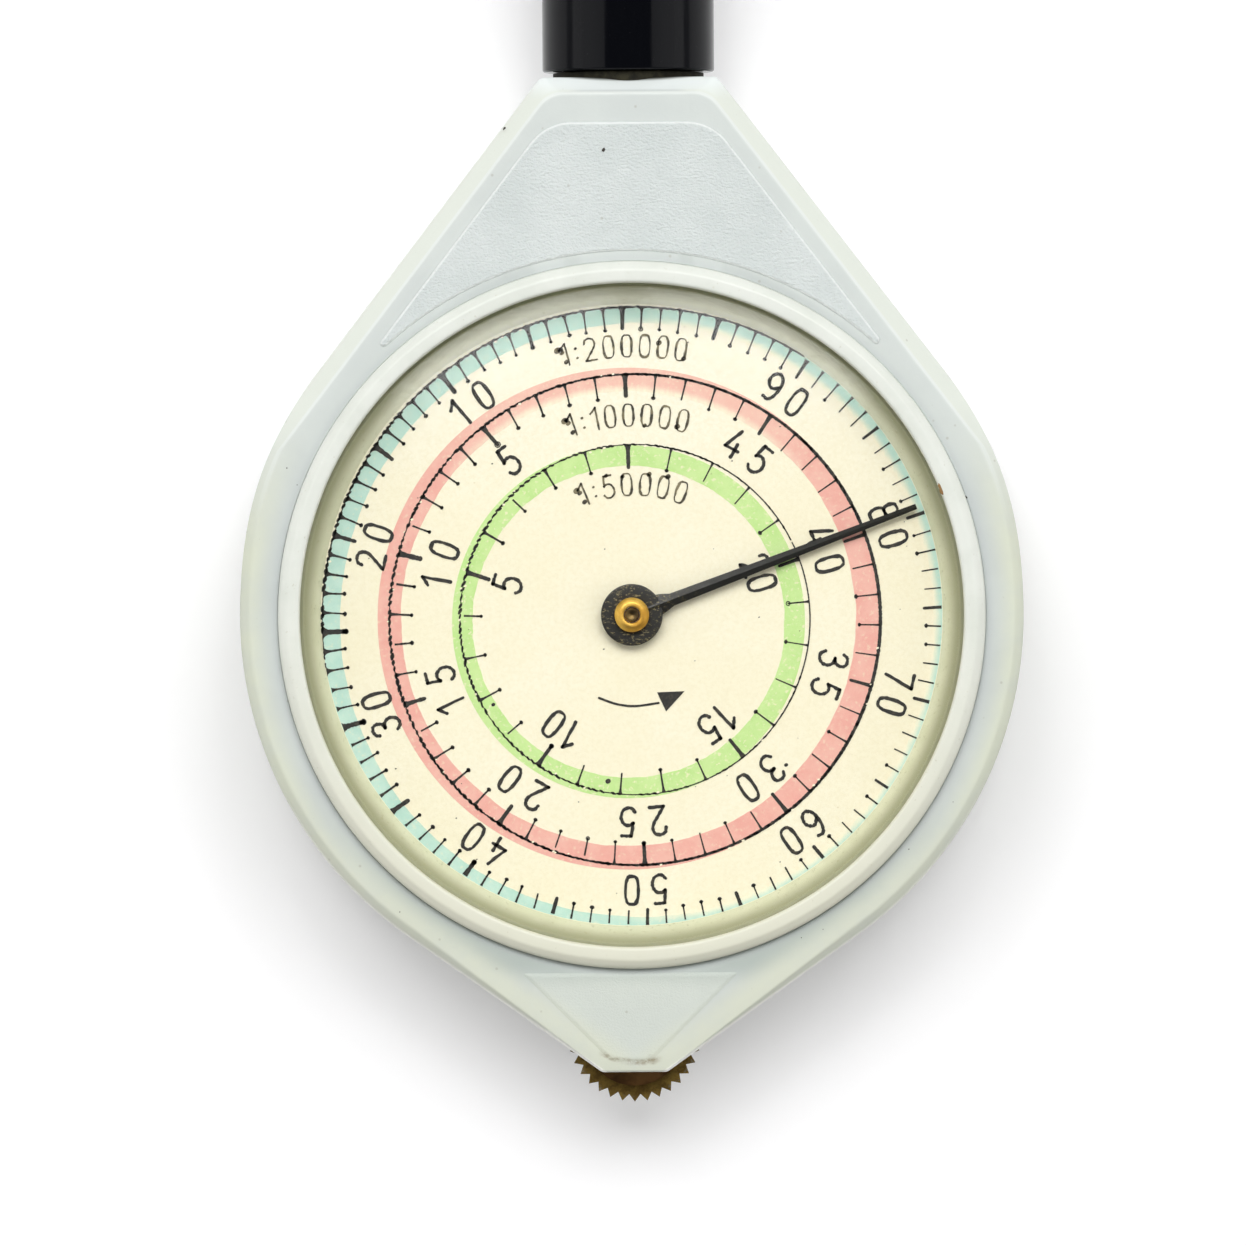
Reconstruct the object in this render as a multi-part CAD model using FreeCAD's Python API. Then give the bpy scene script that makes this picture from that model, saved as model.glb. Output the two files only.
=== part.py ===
import FreeCAD, Part
import math
import os

# Map measurer (opisometer), in millimetres.
# A toothed wheel at the foot is rolled along a line on a map. Three pairs of gears turn the hands on
# the front and the back dial once for every 500 mm of travel.
# While it is modelled, the origin lies on the arbor of the hands, on the joint plane of the two case
# halves: X to the right, Y up to the handle, Z out of the front dial. PLACE at the end then moves
# everything, so that the finished part lies on its back bezel with its origin under its middle.

V = FreeCAD.Vector

# ---- driving dimensions ----

# case, seen from the front
face_margin = 2.28            # case face outside the bezel groove, at the widest place
shoulder_angle = 52.6         # slope of the upper flanks
foot_angle = 35.0             # slope of the lower flanks
top_corner_inset = 0.217      # sharp top corners inside the side of the handle
foot_half_width = 1.951       # half the foot's lower edge, between its sharp corners
foot_cover = 2.12             # case below the wheel's axle
top_corner_radius = 0.9       # at the joint plane
face_corner_radius = 2.8      # the same corner at the face
foot_corner_radius = 0.5
wall = 1.2

# case, from the joint plane to the front
case_depth = 5.5
edge_height = 1.3             # height of the slope round the edge
top_chamfer = 0.9
shoulder_chamfer = 1.1
shoulder_turn = 1.6           # the shoulder chamfer widens downwards by this angle
side_rounding = 0.6
foot_slope = 1.3
foot_turn = 3.0               # the lower slope narrows towards the foot by this angle
foot_chamfer = 0.5
side_upper_angle = 18.0       # the round sides are one arc between these angles
side_lower_angle = -34.0
pocket_roof = 1.5             # thickness over the hollows in shoulder and foot
ring_wall = 1.4               # wall between the bezel groove and those hollows

# raised pads on the face
pad_height = 0.15
pad_top_inset = 2.65
pad_flank_inset = 2.05
pad_corner_radius = 3.7
pad_bezel_margin = 0.73       # from the bezel groove to the shoulder pad
foot_pad_margin = 0.34        # from the bezel groove to the foot pad
foot_pad_angle = 45.0
foot_pad_half_width = 6.4
foot_pad_end_inset = 0.7

# window, crystal and bezel
window_radius = 18.48
well_flare = 1.02             # the window widens by this up to the crystal
well_depth = 1.4
crystal_ledge = 0.85
crystal_thickness = 0.7
crystal_rim_inset = 0.3
dome_bands = 2
crystal_below_bezel = 0.2
bezel_lip = 0.5               # bezel over the crystal's rim
bezel_wall = 0.6
bezel_rise = 0.9              # bezel above the case face
bezel_edge_in = 0.25
bezel_edge_out = 0.5
bezel_gap = 0.12              # groove round the bezel
fit_gap = 0.05

# movement: plates, dials, pillars
plate_space = 3.9             # clear height between the plates
plate_thickness = 0.6
plate_ledge = 0.7             # plate rim held by the case
plate_tail_radius = 1.45
dial_thickness = 0.45
dial_overlap = 1.5            # dial behind the window's edge
dial_gap = 0.2
dial_hole_radius = 0.95
pillar_inset = 5.38           # pillar axes inside the plate's edge
pillar_radius = 1.1
pillar_spread_angle = 125.0   # from the top pillar to the one on each side
screw_radius = 0.5
screw_head_radius = 1.05
screw_length = 1.8

# arbors
arbor_radius = 0.6
pivot_radius = 0.4
centre_pivot_radius = 0.47
pivot_clearance = 0.05
end_shake = 0.1

# measuring wheel
wheel_circumference = 25.0
wheel_teeth = 33
wheel_tooth_depth = 0.45
wheel_thickness = 0.6
boss_radius = 3.0
boss_core_radius = 1.6
cheek_thickness = 0.3
wheel_clearance = 0.4
slot_clearance = 0.2

# gear train, 20 to 1
fine_module = 0.3
wheel_pinion_leaves = 8
first_gear_teeth = 40
first_pinion_leaves = 14
second_gear_teeth = 28
second_pinion_leaves = 14
centre_gear_teeth = 28
train_bend = 20.5             # the second arbor stands beside the line of the others by this angle
addendum = 0.9                # in modules
dedendum = 1.2
root_share = 0.52             # tooth width over tooth pitch, at the root and at the tip
tip_share = 0.24
gear_thickness = 0.45
pinion_height = 1.0
first_gear_level = -1.45
second_gear_level = 1.45
centre_gear_level = 0.0
gear_rim = 1.0
gear_hub_radius = 1.5
gear_spoke_width = 0.9
gear_spokes = 4

# hands
hand_tip_gap = 0.38           # from the hand's tip to the window's edge
hand_reading_angle = 20.5     # from the X axis
hand_root_width = 0.84
hand_tip_width = 0.33
hand_hub_radius = 1.84
hand_thickness = 0.3
hand_above_dial = 0.55
collet_radius = 1.03
collet_height = 0.75
collet_stem_radius = 0.75
collet_stem = 0.25
arbor_end_inset = 0.1

# handle
handle_radius = 5.13
handle_length = 50.0
handle_gap = 0.3              # between the case and the handle
handle_wall = 1.28
handle_end_wall = 2.5
handle_dome = 1.4
handle_rim_chamfer = 0.2
handle_core_step = 0.65
neck_length = 8.0
neck_bore_radius = 2.2
neck_chamfer = 0.5

# pegs that align the case halves
peg_radius = 0.5
peg_height = 1.2
post_radius = 1.4
post_x = 5.5
post_drop = 6.1               # posts below the top edge
foot_boss_radius = 1.0
foot_boss_angle = 20.0        # from the downward axis
rib_width = 1.0
rib_height = 2.4

# ---- dependent dimensions ----

well_radius = window_radius + well_flare
crystal_radius = well_radius + crystal_ledge
bezel_inner = crystal_radius - bezel_lip
bezel_outer = crystal_radius + fit_gap + bezel_wall
groove_radius = bezel_outer + bezel_gap
body_radius = groove_radius + face_margin
shoulder_slope = math.radians(90 - shoulder_angle)
foot_slope_angle = math.radians(90 - foot_angle)
top_half_width = handle_radius - top_corner_inset
shoulder_top = (body_radius - top_half_width * math.cos(shoulder_slope)) / math.sin(shoulder_slope)
foot_low = (body_radius - foot_half_width * math.cos(foot_slope_angle)) / math.sin(foot_slope_angle)
wheel_offset = foot_low - foot_cover      # axle of the wheel below the hands' arbor
dial_radius = window_radius + dial_overlap
dial_pocket_radius = dial_radius + dial_gap
plate_radius = dial_pocket_radius + plate_ledge
pillar_circle = plate_radius - pillar_inset
hand_length = window_radius - hand_tip_gap
hollow_radius = groove_radius + ring_wall

plate_in = plate_space / 2
plate_out = plate_in + plate_thickness
dial_face = plate_out + dial_thickness
crystal_seat = dial_face + well_depth
crystal_rim = crystal_seat + crystal_thickness
bezel_top = case_depth + bezel_rise
crystal_apex = bezel_top - crystal_below_bezel
hollow_roof = case_depth - pocket_roof
hand_low = dial_face + hand_above_dial
hand_high = hand_low + hand_thickness
collet_top = hand_high + collet_height
foot_boss_circle = plate_radius + foot_boss_radius + 0.4

wheel_radius = wheel_circumference / (2 * math.pi)
slot_half = wheel_thickness / 2 + cheek_thickness + slot_clearance
neck_radius = handle_radius - handle_wall - fit_gap
handle_start = shoulder_top + handle_gap
handle_end = handle_start + handle_length

WHEEL = V(0, -wheel_offset, 0)
fine_distance = fine_module * (wheel_pinion_leaves + first_gear_teeth) / 2
FIRST = WHEEL + V(0, fine_distance, 0)
coarse_distance = -FIRST.y / 2 / math.cos(math.radians(train_bend))
coarse_module = 2 * coarse_distance / (first_pinion_leaves + second_gear_teeth)
bend = math.radians(train_bend)
SECOND = V(coarse_distance * math.sin(bend), -coarse_distance * math.cos(bend), 0)
CENTRE = V(0, 0, 0)

PLACE = V(0, (wheel_offset + wheel_radius - handle_end) / 2, bezel_top)


# ---- small helpers ----

def polar(radius, degrees, z=0.0):
    """Point at a distance and an angle from the X axis."""
    turn = math.radians(degrees)
    return V(radius * math.cos(turn), radius * math.sin(turn), z)


def disc(radius, z0, z1, centre=CENTRE):
    """Cylinder along Z."""
    return Part.makeCylinder(radius, z1 - z0, V(centre.x, centre.y, z0))


def ring(outer, inner, z0, z1, centre=CENTRE):
    """Washer along Z."""
    return disc(outer, z0, z1, centre).cut(disc(inner, z0, z1, centre))


def block(x0, x1, y0, y1, z0, z1):
    """Box between two corners."""
    return Part.makeBox(x1 - x0, y1 - y0, z1 - z0, V(x0, y0, z0))


def prism(wire, z0, z1):
    """Closed flat wire, drawn at z = 0, filled from z0 to z1."""
    face = Part.Face(wire)
    face.translate(V(0, 0, z0))
    return face.extrude(V(0, 0, z1 - z0))


def polygon(points):
    """Closed wire with straight edges."""
    return Part.makePolygon(points + points[:1])


def turned(profile, centre=CENTRE):
    """Solid turned about a line along Z. The profile holds pairs of radius and height."""
    points = [V(radius, 0, height) for radius, height in profile]
    solid = Part.Face(polygon(points)).revolve(V(0, 0, 0), V(0, 0, 1), 360)
    solid.translate(centre)
    return solid


def mirrored(shape):
    """Copy on the other side of the joint plane."""
    return shape.mirror(CENTRE, V(0, 0, 1))


def meet(normal_a, distance_a, normal_b, distance_b):
    """Point where two lines cross. A line is given by its normal and its distance from the origin."""
    det = normal_a.x * normal_b.y - normal_a.y * normal_b.x
    x = (distance_a * normal_b.y - distance_b * normal_a.y) / det
    y = (normal_a.x * distance_b - normal_b.x * distance_a) / det
    return V(x, y, 0)


def corner_arc(normal_a, distance_a, normal_b, distance_b, radius):
    """Start, middle and end of the arc that rounds an outer corner of two lines."""
    centre = meet(normal_a, distance_a - radius, normal_b, distance_b - radius)
    middle = normal_a + normal_b
    middle.normalize()
    return [centre + normal * radius for normal in (normal_a, middle, normal_b)]


def stacked(levels):
    """Solid with straight walls from each closed outline to the next one above it. The outlines have
    the same number of edges, in the same order."""
    faces = [Part.Face(levels[0]), Part.Face(levels[-1])]
    for low, high in zip(levels, levels[1:]):
        for low_edge, high_edge in zip(low.Edges, high.Edges):
            faces.append(Part.makeRuledSurface(low_edge, high_edge))
    shell = Part.Shell(faces)
    shell.sewShape()
    solid = Part.Solid(shell)
    if solid.Volume < 0:
        solid.reverse()
    return solid


# ---- outline of the case ----

def case_outline(top, shoulder, side, slope, foot, turn=0.0, low_turn=0.0, corner=top_corner_radius):
    """Outline of the case, moved in by a distance at the top edge, the shoulders, the round sides, the
    lower flanks and the foot. The flanks may also be turned. Each runs into the round side where the
    two meet."""
    upper = 90 - shoulder_angle - turn
    lower = foot_angle + low_turn - 90
    shoulder_normal = polar(1, upper)
    slope_normal = polar(1, lower)
    side_radius = body_radius - side
    upper -= math.degrees(math.acos(min(1, (body_radius - shoulder) / side_radius)))
    lower += math.degrees(math.acos(min(1, (body_radius - slope) / side_radius)))
    head = corner_arc(V(0, 1, 0), shoulder_top - top, shoulder_normal, body_radius - shoulder, corner)
    stops = (upper, side_upper_angle, side_lower_angle, lower)
    side_arcs = [[polar(side_radius, angle) for angle in (start, (start + end) / 2, end)]
                 for start, end in zip(stops, stops[1:])]
    toe = corner_arc(slope_normal, body_radius - slope, V(0, -1, 0), foot_low - foot, foot_corner_radius)
    right = [head] + side_arcs + [toe]
    left = [[V(-p.x, p.y, 0) for p in reversed(arc)] for arc in reversed(right)]
    edges = []
    arcs = right + left
    for index, arc in enumerate(arcs):
        after = arcs[(index + 1) % len(arcs)]
        edges.append(Part.Arc(*arc).toShape())
        if arc[2].distanceToPoint(after[0]) > 1e-6:
            edges.append(Part.LineSegment(arc[2], after[0]).toShape())
    return Part.Wire(edges)


def inner_outline():
    """Inside of the case wall."""
    return case_outline(wall, wall, wall, wall, wall)


def case_block():
    """Front half of the case, still solid: crisp chamfers above, soft rounded slopes below."""
    levels = [case_outline(0, 0, 0, 0, 0)]
    for share in (0.0, 0.6, 1.0):
        rounded = 1 - math.sqrt(1 - share * share)
        corner = top_corner_radius + (face_corner_radius - top_corner_radius) * share
        wire = case_outline(top_chamfer * share, shoulder_chamfer * share, side_rounding * rounded,
                            foot_slope * rounded, foot_chamfer * rounded, shoulder_turn * share,
                            foot_turn * rounded, corner)
        wire.translate(V(0, 0, case_depth - edge_height * (1 - share)))
        levels.append(wire)
    return stacked(levels)


def shoulder_pad():
    """Raised field between the bezel and the handle."""
    wire = case_outline(pad_top_inset, pad_flank_inset, pad_flank_inset, pad_flank_inset, wall,
                        shoulder_turn, 0, pad_corner_radius)
    pad = prism(wire, case_depth - pad_height, case_depth + pad_height)
    pad = pad.cut(disc(groove_radius + pad_bezel_margin, 0, bezel_top))
    upper_side = block(-body_radius, body_radius, 0, shoulder_top, 0, bezel_top)
    return pad.common(upper_side)


def foot_pad():
    """Raised triangle between the bezel and the foot, cut off at its lower end."""
    y_top = -groove_radius - foot_pad_margin
    y_end = foot_pad_end_inset - foot_low
    end_half = foot_pad_half_width - (y_top - y_end) / math.tan(math.radians(foot_pad_angle))
    end_half = max(end_half, foot_corner_radius)
    corners = [V(-foot_pad_half_width, y_top, 0), V(-end_half, y_end, 0),
               V(end_half, y_end, 0), V(foot_pad_half_width, y_top, 0)]
    return prism(polygon(corners), case_depth - pad_height, case_depth + pad_height)


def neck():
    """Upper half of the split neck that carries the handle."""
    y0 = shoulder_top - wall / 2
    y1 = shoulder_top + neck_length
    bore_start = shoulder_top + wall
    profile = [V(0, y0, 0), V(neck_radius, y0, 0), V(neck_radius, y1 - neck_chamfer, 0),
               V(neck_radius - neck_chamfer, y1, 0), V(neck_bore_radius, y1, 0),
               V(neck_bore_radius, bore_start, 0), V(0, bore_start, 0)]
    half = Part.Face(polygon(profile)).revolve(V(0, 0, 0), V(0, 1, 0), 360)
    return half.common(block(-neck_radius, neck_radius, y0, y1, 0, neck_radius))


def peg_places():
    """Two posts in the shoulder and two bosses beside the foot."""
    post_y = shoulder_top - post_drop
    boss_y = -foot_boss_circle * math.cos(math.radians(foot_boss_angle))
    boss_x = foot_boss_circle * math.sin(math.radians(foot_boss_angle))
    posts = [V(side * post_x, post_y, 0) for side in (-1, 1)]
    bosses = [V(side * boss_x, boss_y, 0) for side in (-1, 1)]
    return posts, bosses


def case_half():
    """Front half of the case with everything that both halves share."""
    posts, bosses = peg_places()
    shell = case_block().fuse([shoulder_pad(), foot_pad()])
    movement_space = prism(inner_outline(), 0, plate_out)
    hollows = prism(inner_outline(), plate_out, hollow_roof).cut(disc(hollow_radius, 0, case_depth))
    well = Part.makeCone(window_radius, well_radius, well_depth, V(0, 0, dial_face))
    dial_pocket = disc(dial_pocket_radius, plate_out, dial_face)
    groove = disc(groove_radius, crystal_seat, bezel_top)
    pinion_tip = fine_module * (wheel_pinion_leaves / 2 + addendum)
    pinion_room = disc(max(pinion_tip, plate_tail_radius) + slot_clearance, 0, plate_out, WHEEL)
    wheel_slot = disc(wheel_radius + wheel_clearance, 0, slot_half, WHEEL)
    half_wall = wall / 2
    inside = prism(case_outline(half_wall, half_wall, half_wall, half_wall, half_wall), 0, case_depth)
    shell = shell.cut([movement_space, hollows, dial_pocket, well, groove])
    for post in posts:
        rib = block(post.x - rib_width / 2, post.x + rib_width / 2, groove_radius, shoulder_top,
                    hollow_roof - rib_height, hollow_roof + wall / 4)
        rib = rib.common(inside).cut(disc(hollow_radius, 0, case_depth))
        shell = shell.fuse([disc(post_radius, 0, hollow_roof + wall / 4, post), rib])
    for boss in bosses:
        shell = shell.fuse(disc(foot_boss_radius, 0, plate_out + wall / 4, boss))
    shell = shell.fuse(neck())
    return shell.cut([pinion_room, wheel_slot]).removeSplitter()


def front_shell():
    """Front half, with the holes for the pegs."""
    posts, bosses = peg_places()
    shell = case_half()
    for place in posts + bosses:
        shell = shell.cut(disc(peg_radius + fit_gap, 0, peg_height + fit_gap, place))
    return shell


def rear_shell():
    """Back half, with the pegs."""
    posts, bosses = peg_places()
    shell = mirrored(case_half())
    for place in posts + bosses:
        shell = shell.fuse(disc(peg_radius, -fit_gap, peg_height, place))
    return shell.removeSplitter()


# ---- bezel, crystal, dial ----

def bezel():
    """Ring that holds the crystal: bevelled top, lip over the crystal's rim, leg beside it."""
    leg = crystal_radius + fit_gap
    return turned([(bezel_inner, crystal_rim), (bezel_inner, bezel_top - bezel_edge_in),
                   (bezel_inner + bezel_edge_in, bezel_top), (bezel_outer - bezel_edge_out, bezel_top),
                   (bezel_outer, bezel_top - bezel_edge_out), (bezel_outer, crystal_seat),
                   (leg, crystal_seat), (leg, crystal_rim)])


def dome_profile(radius, edge_height, apex_height):
    """Points of a shallow dome from its edge to its middle, in straight bands, the last one level."""
    rise = apex_height - edge_height
    bow = (radius * radius + rise * rise) / (2 * rise)
    points = []
    for band in range(dome_bands):
        reach = radius * (1 - band / dome_bands)
        points.append((reach, apex_height - bow + math.sqrt(bow * bow - reach * reach)))
    return points + [(0, points[-1][1])]


def crystal():
    """Domed window with a flat rim."""
    clear = bezel_inner - fit_gap
    outside = dome_profile(clear, crystal_rim, crystal_apex)
    inside = dome_profile(clear - crystal_rim_inset, crystal_seat, crystal_apex - crystal_thickness)
    rim = [(crystal_radius, crystal_seat), (crystal_radius, crystal_rim)]
    return turned(rim + outside + inside[::-1])


def dial():
    """Printed disc, held between the plate and the case."""
    return ring(dial_radius, dial_hole_radius, plate_out, dial_face)


# ---- movement ----

def arbor_places():
    """Pivot holes of one plate: place and radius."""
    small = pivot_radius + pivot_clearance
    return [(WHEEL, small), (FIRST, small), (SECOND, small), (CENTRE, centre_pivot_radius + pivot_clearance)]


def plate():
    """Pear-shaped plate of the movement, on the front side."""
    lean = math.degrees(math.asin((plate_radius - plate_tail_radius) / wheel_offset))
    touch = [polar(plate_radius, -lean), WHEEL + polar(plate_tail_radius, -lean)]
    sides = [V(-p.x, p.y, 0) for p in reversed(touch)]
    shape = disc(plate_radius, plate_in, plate_out)
    shape = shape.fuse(disc(plate_tail_radius, plate_in, plate_out, WHEEL))
    shape = shape.fuse(prism(polygon(touch + sides), plate_in, plate_out)).removeSplitter()
    holes = [disc(radius, plate_in, plate_out, place) for place, radius in arbor_places()]
    for boss in peg_places()[1]:
        holes.append(disc(foot_boss_radius + dial_gap, plate_in, plate_out, boss))
    return shape.cut(holes)


def pillar_places():
    """Axes of the pillars."""
    return [polar(pillar_circle, 90 + turn * pillar_spread_angle) for turn in (-1, 0, 1)]


def screw(place, clearance=0.0):
    """Countersunk screw, head as thick as the front plate and flush with it. With a clearance it is the
    hole for it."""
    shank = screw_radius + clearance
    head = screw_head_radius + clearance
    return turned([(0, plate_out - screw_length), (shank, plate_out - screw_length), (shank, plate_in),
                   (head, plate_out), (0, plate_out)], place)


def front_plate():
    """Front plate, screwed to the pillars."""
    holes = [screw(place, pivot_clearance) for place in pillar_places()]
    return plate().cut(holes)


def rear_plate():
    """Back plate, in which the pillars are riveted."""
    holes = [disc(screw_radius, -plate_out, -plate_in, place) for place in pillar_places()]
    return mirrored(plate()).cut(holes)


def pillars():
    """Distance pillars: a rivet through the back plate, a tapped hole at the front."""
    solids = []
    for place in pillar_places():
        body = disc(pillar_radius, -plate_in, plate_in, place)
        rivet = disc(screw_radius, -plate_out, -plate_in, place)
        tapped = disc(screw_radius, plate_out - screw_length, plate_in, place)
        solids.append(body.fuse(rivet).cut(tapped))
    return Part.makeCompound(solids)


def screws():
    """Plate screws, each with a slot."""
    slot_width = screw_radius / 2
    solids = []
    for place in pillar_places():
        slot = block(place.x - slot_width / 2, place.x + slot_width / 2, place.y - screw_head_radius,
                     place.y + screw_head_radius, plate_out - slot_width, plate_out)
        solids.append(screw(place).cut(slot))
    return Part.makeCompound(solids)


def arbor(place):
    """Arbor with a pivot in each plate."""
    shoulder = plate_in - end_shake
    return turned([(0, -plate_out), (pivot_radius, -plate_out), (pivot_radius, -shoulder),
                   (arbor_radius, -shoulder), (arbor_radius, shoulder), (pivot_radius, shoulder),
                   (pivot_radius, plate_out), (0, plate_out)], place)


def centre_arbor():
    """Arbor that reaches through both dials and carries the hands."""
    shoulder = plate_in - end_shake
    end = collet_top - arbor_end_inset
    return turned([(0, -end), (centre_pivot_radius, -end), (centre_pivot_radius, -shoulder),
                   (arbor_radius, -shoulder), (arbor_radius, shoulder), (centre_pivot_radius, shoulder),
                   (centre_pivot_radius, end), (0, end)])


def toothed(teeth, module, tooth_angle, centre, z0, z1):
    """Toothed disc on an arbor. One tooth points along tooth_angle."""
    tip = module * (teeth / 2 + addendum)
    root = module * (teeth / 2 - dedendum)
    half_pitch = 180 / teeth
    points = []
    for index in range(teeth):
        angle = tooth_angle + 2 * half_pitch * index
        points.append(polar(root, angle - root_share * half_pitch))
        points.append(polar(tip, angle - tip_share * half_pitch))
        points.append(polar(tip, angle + tip_share * half_pitch))
        points.append(polar(root, angle + root_share * half_pitch))
    solid = prism(polygon(points), z0, z1)
    solid.translate(centre)
    return solid.cut(disc(arbor_radius, z0, z1, centre))


def spoke_windows(root, centre, z0, z1):
    """What is cut out between the spokes of a gear."""
    band = ring(root - gear_rim, gear_hub_radius, z0, z1, centre)
    half = gear_spoke_width / 2
    for index in range(gear_spokes // 2):
        spoke = Part.makeBox(2 * root, 2 * half, z1 - z0, V(-root, -half, z0))
        spoke.rotate(CENTRE, V(0, 0, 1), 360 / gear_spokes * index + 180 / gear_spokes)
        spoke.translate(centre)
        band = band.cut(spoke)
    return band


def gear(teeth, module, tooth_angle, centre, level):
    """Spoked gear."""
    z0 = level - gear_thickness / 2
    z1 = level + gear_thickness / 2
    root = module * (teeth / 2 - dedendum)
    return toothed(teeth, module, tooth_angle, centre, z0, z1).cut(spoke_windows(root, centre, z0, z1))


def pinion(leaves, module, tooth_angle, centre, level):
    """Pinion, longer than its gear is thick, centred on the gear's level but clear of the plates."""
    room = plate_in - end_shake - abs(level)
    half = min(pinion_height / 2, room)
    return toothed(leaves, module, tooth_angle, centre, level - half, level + half)


def line_angle(start, end):
    """Direction from one arbor to another."""
    return math.degrees(math.atan2(end.y - start.y, end.x - start.x))


def gap_angle(angle, teeth):
    """Tooth angle of a gear that meets the pinion's tooth with a gap. The pinion lies at angle."""
    return angle + 180 / teeth


def train():
    """The four toothed pairs, in mesh."""
    to_first = line_angle(WHEEL, FIRST)
    to_second = line_angle(FIRST, SECOND)
    to_centre = line_angle(SECOND, CENTRE)
    parts = {}
    parts["wheel_pinion"] = pinion(wheel_pinion_leaves, fine_module, to_first, WHEEL, first_gear_level)
    parts["first_gear"] = gear(first_gear_teeth, fine_module,
                               gap_angle(to_first + 180, first_gear_teeth), FIRST, first_gear_level)
    parts["first_pinion"] = pinion(first_pinion_leaves, coarse_module, to_second, FIRST,
                                   second_gear_level)
    parts["second_gear"] = gear(second_gear_teeth, coarse_module,
                                gap_angle(to_second + 180, second_gear_teeth), SECOND,
                                second_gear_level)
    parts["second_pinion"] = pinion(second_pinion_leaves, coarse_module, to_centre, SECOND,
                                    centre_gear_level)
    parts["centre_gear"] = gear(centre_gear_teeth, coarse_module,
                                gap_angle(to_centre + 180, centre_gear_teeth), CENTRE,
                                centre_gear_level)
    return parts


# ---- measuring wheel ----

def measuring_wheel():
    """Thin disc with sharp teeth, one of them straight down."""
    half_pitch = 180 / wheel_teeth
    points = []
    for index in range(wheel_teeth):
        angle = -90 + 2 * half_pitch * index
        points.append(polar(wheel_radius, angle))
        points.append(polar(wheel_radius - wheel_tooth_depth, angle + half_pitch))
    solid = prism(polygon(points), -wheel_thickness / 2, wheel_thickness / 2)
    solid.translate(WHEEL)
    return solid.cut(disc(boss_core_radius, -wheel_thickness, wheel_thickness, WHEEL))


def wheel_boss():
    """Flange behind the wheel, with the core that carries the wheel and the cheek."""
    back = -wheel_thickness / 2
    front = wheel_thickness / 2 + cheek_thickness
    return turned([(arbor_radius, back - cheek_thickness), (boss_radius, back - cheek_thickness),
                   (boss_radius, back), (boss_core_radius, back), (boss_core_radius, front),
                   (arbor_radius, front)], WHEEL)


def wheel_cheek():
    """Washer riveted on the boss in front of the wheel."""
    return ring(boss_radius, boss_core_radius, wheel_thickness / 2, wheel_thickness / 2 + cheek_thickness, WHEEL)


# ---- hands ----

def hand():
    """Tapered hand on a round hub, on the front side."""
    root = hand_root_width / 2
    tip = hand_tip_width / 2
    blade = prism(polygon([V(0, -root, 0), V(hand_length, -tip, 0), V(hand_length, tip, 0), V(0, root, 0)]),
                  hand_low, hand_high)
    blade.rotate(CENTRE, V(0, 0, 1), hand_reading_angle)
    shape = disc(hand_hub_radius, hand_low, hand_high).fuse(blade).removeSplitter()
    return shape.cut(disc(collet_stem_radius, hand_low, hand_high))


def collet():
    """Collet pressed on the arbor, with a stem through the hand."""
    stem_low = hand_low - collet_stem
    bevel = collet_height / 4
    return turned([(centre_pivot_radius, stem_low), (collet_stem_radius, stem_low),
                   (collet_stem_radius, hand_high), (collet_radius, hand_high),
                   (collet_radius, collet_top - bevel), (collet_radius - bevel, collet_top),
                   (centre_pivot_radius, collet_top)])


# ---- handle ----

def handle():
    """Round moulded handle, open at the neck, with a rounded end."""
    bore = neck_radius + fit_gap
    core = bore - handle_core_step
    socket_end = shoulder_top + neck_length + handle_gap
    core_end = handle_end - handle_end_wall
    shoulder = 0.3 * handle_dome
    profile = [V(bore, handle_start, 0), V(handle_radius - handle_rim_chamfer, handle_start, 0),
               V(handle_radius, handle_start + handle_rim_chamfer, 0),
               V(handle_radius, handle_end - handle_dome, 0),
               V(handle_radius - shoulder, handle_end - shoulder, 0),
               V(handle_radius - handle_dome, handle_end, 0), V(0, handle_end, 0), V(0, core_end, 0),
               V(core, core_end, 0), V(core, socket_end, 0), V(bore, socket_end, 0)]
    return Part.Face(polygon(profile)).revolve(V(0, 0, 0), V(0, 1, 0), 360)


# ---- build and export ----

def build():
    """All nodes by name, still about the modelling origin."""
    nodes = {
        "front_shell": front_shell(),
        "rear_shell": rear_shell(),
        "handle": handle(),
        "front_plate": front_plate(),
        "rear_plate": rear_plate(),
        "plate_pillars": pillars(),
        "plate_screws": screws(),
        "measuring_wheel": measuring_wheel(),
        "wheel_boss": wheel_boss(),
        "wheel_cheek": wheel_cheek(),
        "wheel_axle": arbor(WHEEL),
        "first_arbor": arbor(FIRST),
        "second_arbor": arbor(SECOND),
        "centre_arbor": centre_arbor(),
    }
    nodes.update(train())
    for name, make in (("bezel", bezel), ("crystal", crystal), ("dial", dial), ("hand", hand),
                       ("collet", collet)):
        front = make()
        nodes["front_" + name] = front
        nodes["rear_" + name] = mirrored(front)
    return nodes


os.makedirs("parts", exist_ok=True)
for node_name, node_shape in build().items():
    node_shape.translate(PLACE)
    node_shape.exportStep("parts/" + node_name + ".step")
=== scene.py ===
import math
import random

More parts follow.
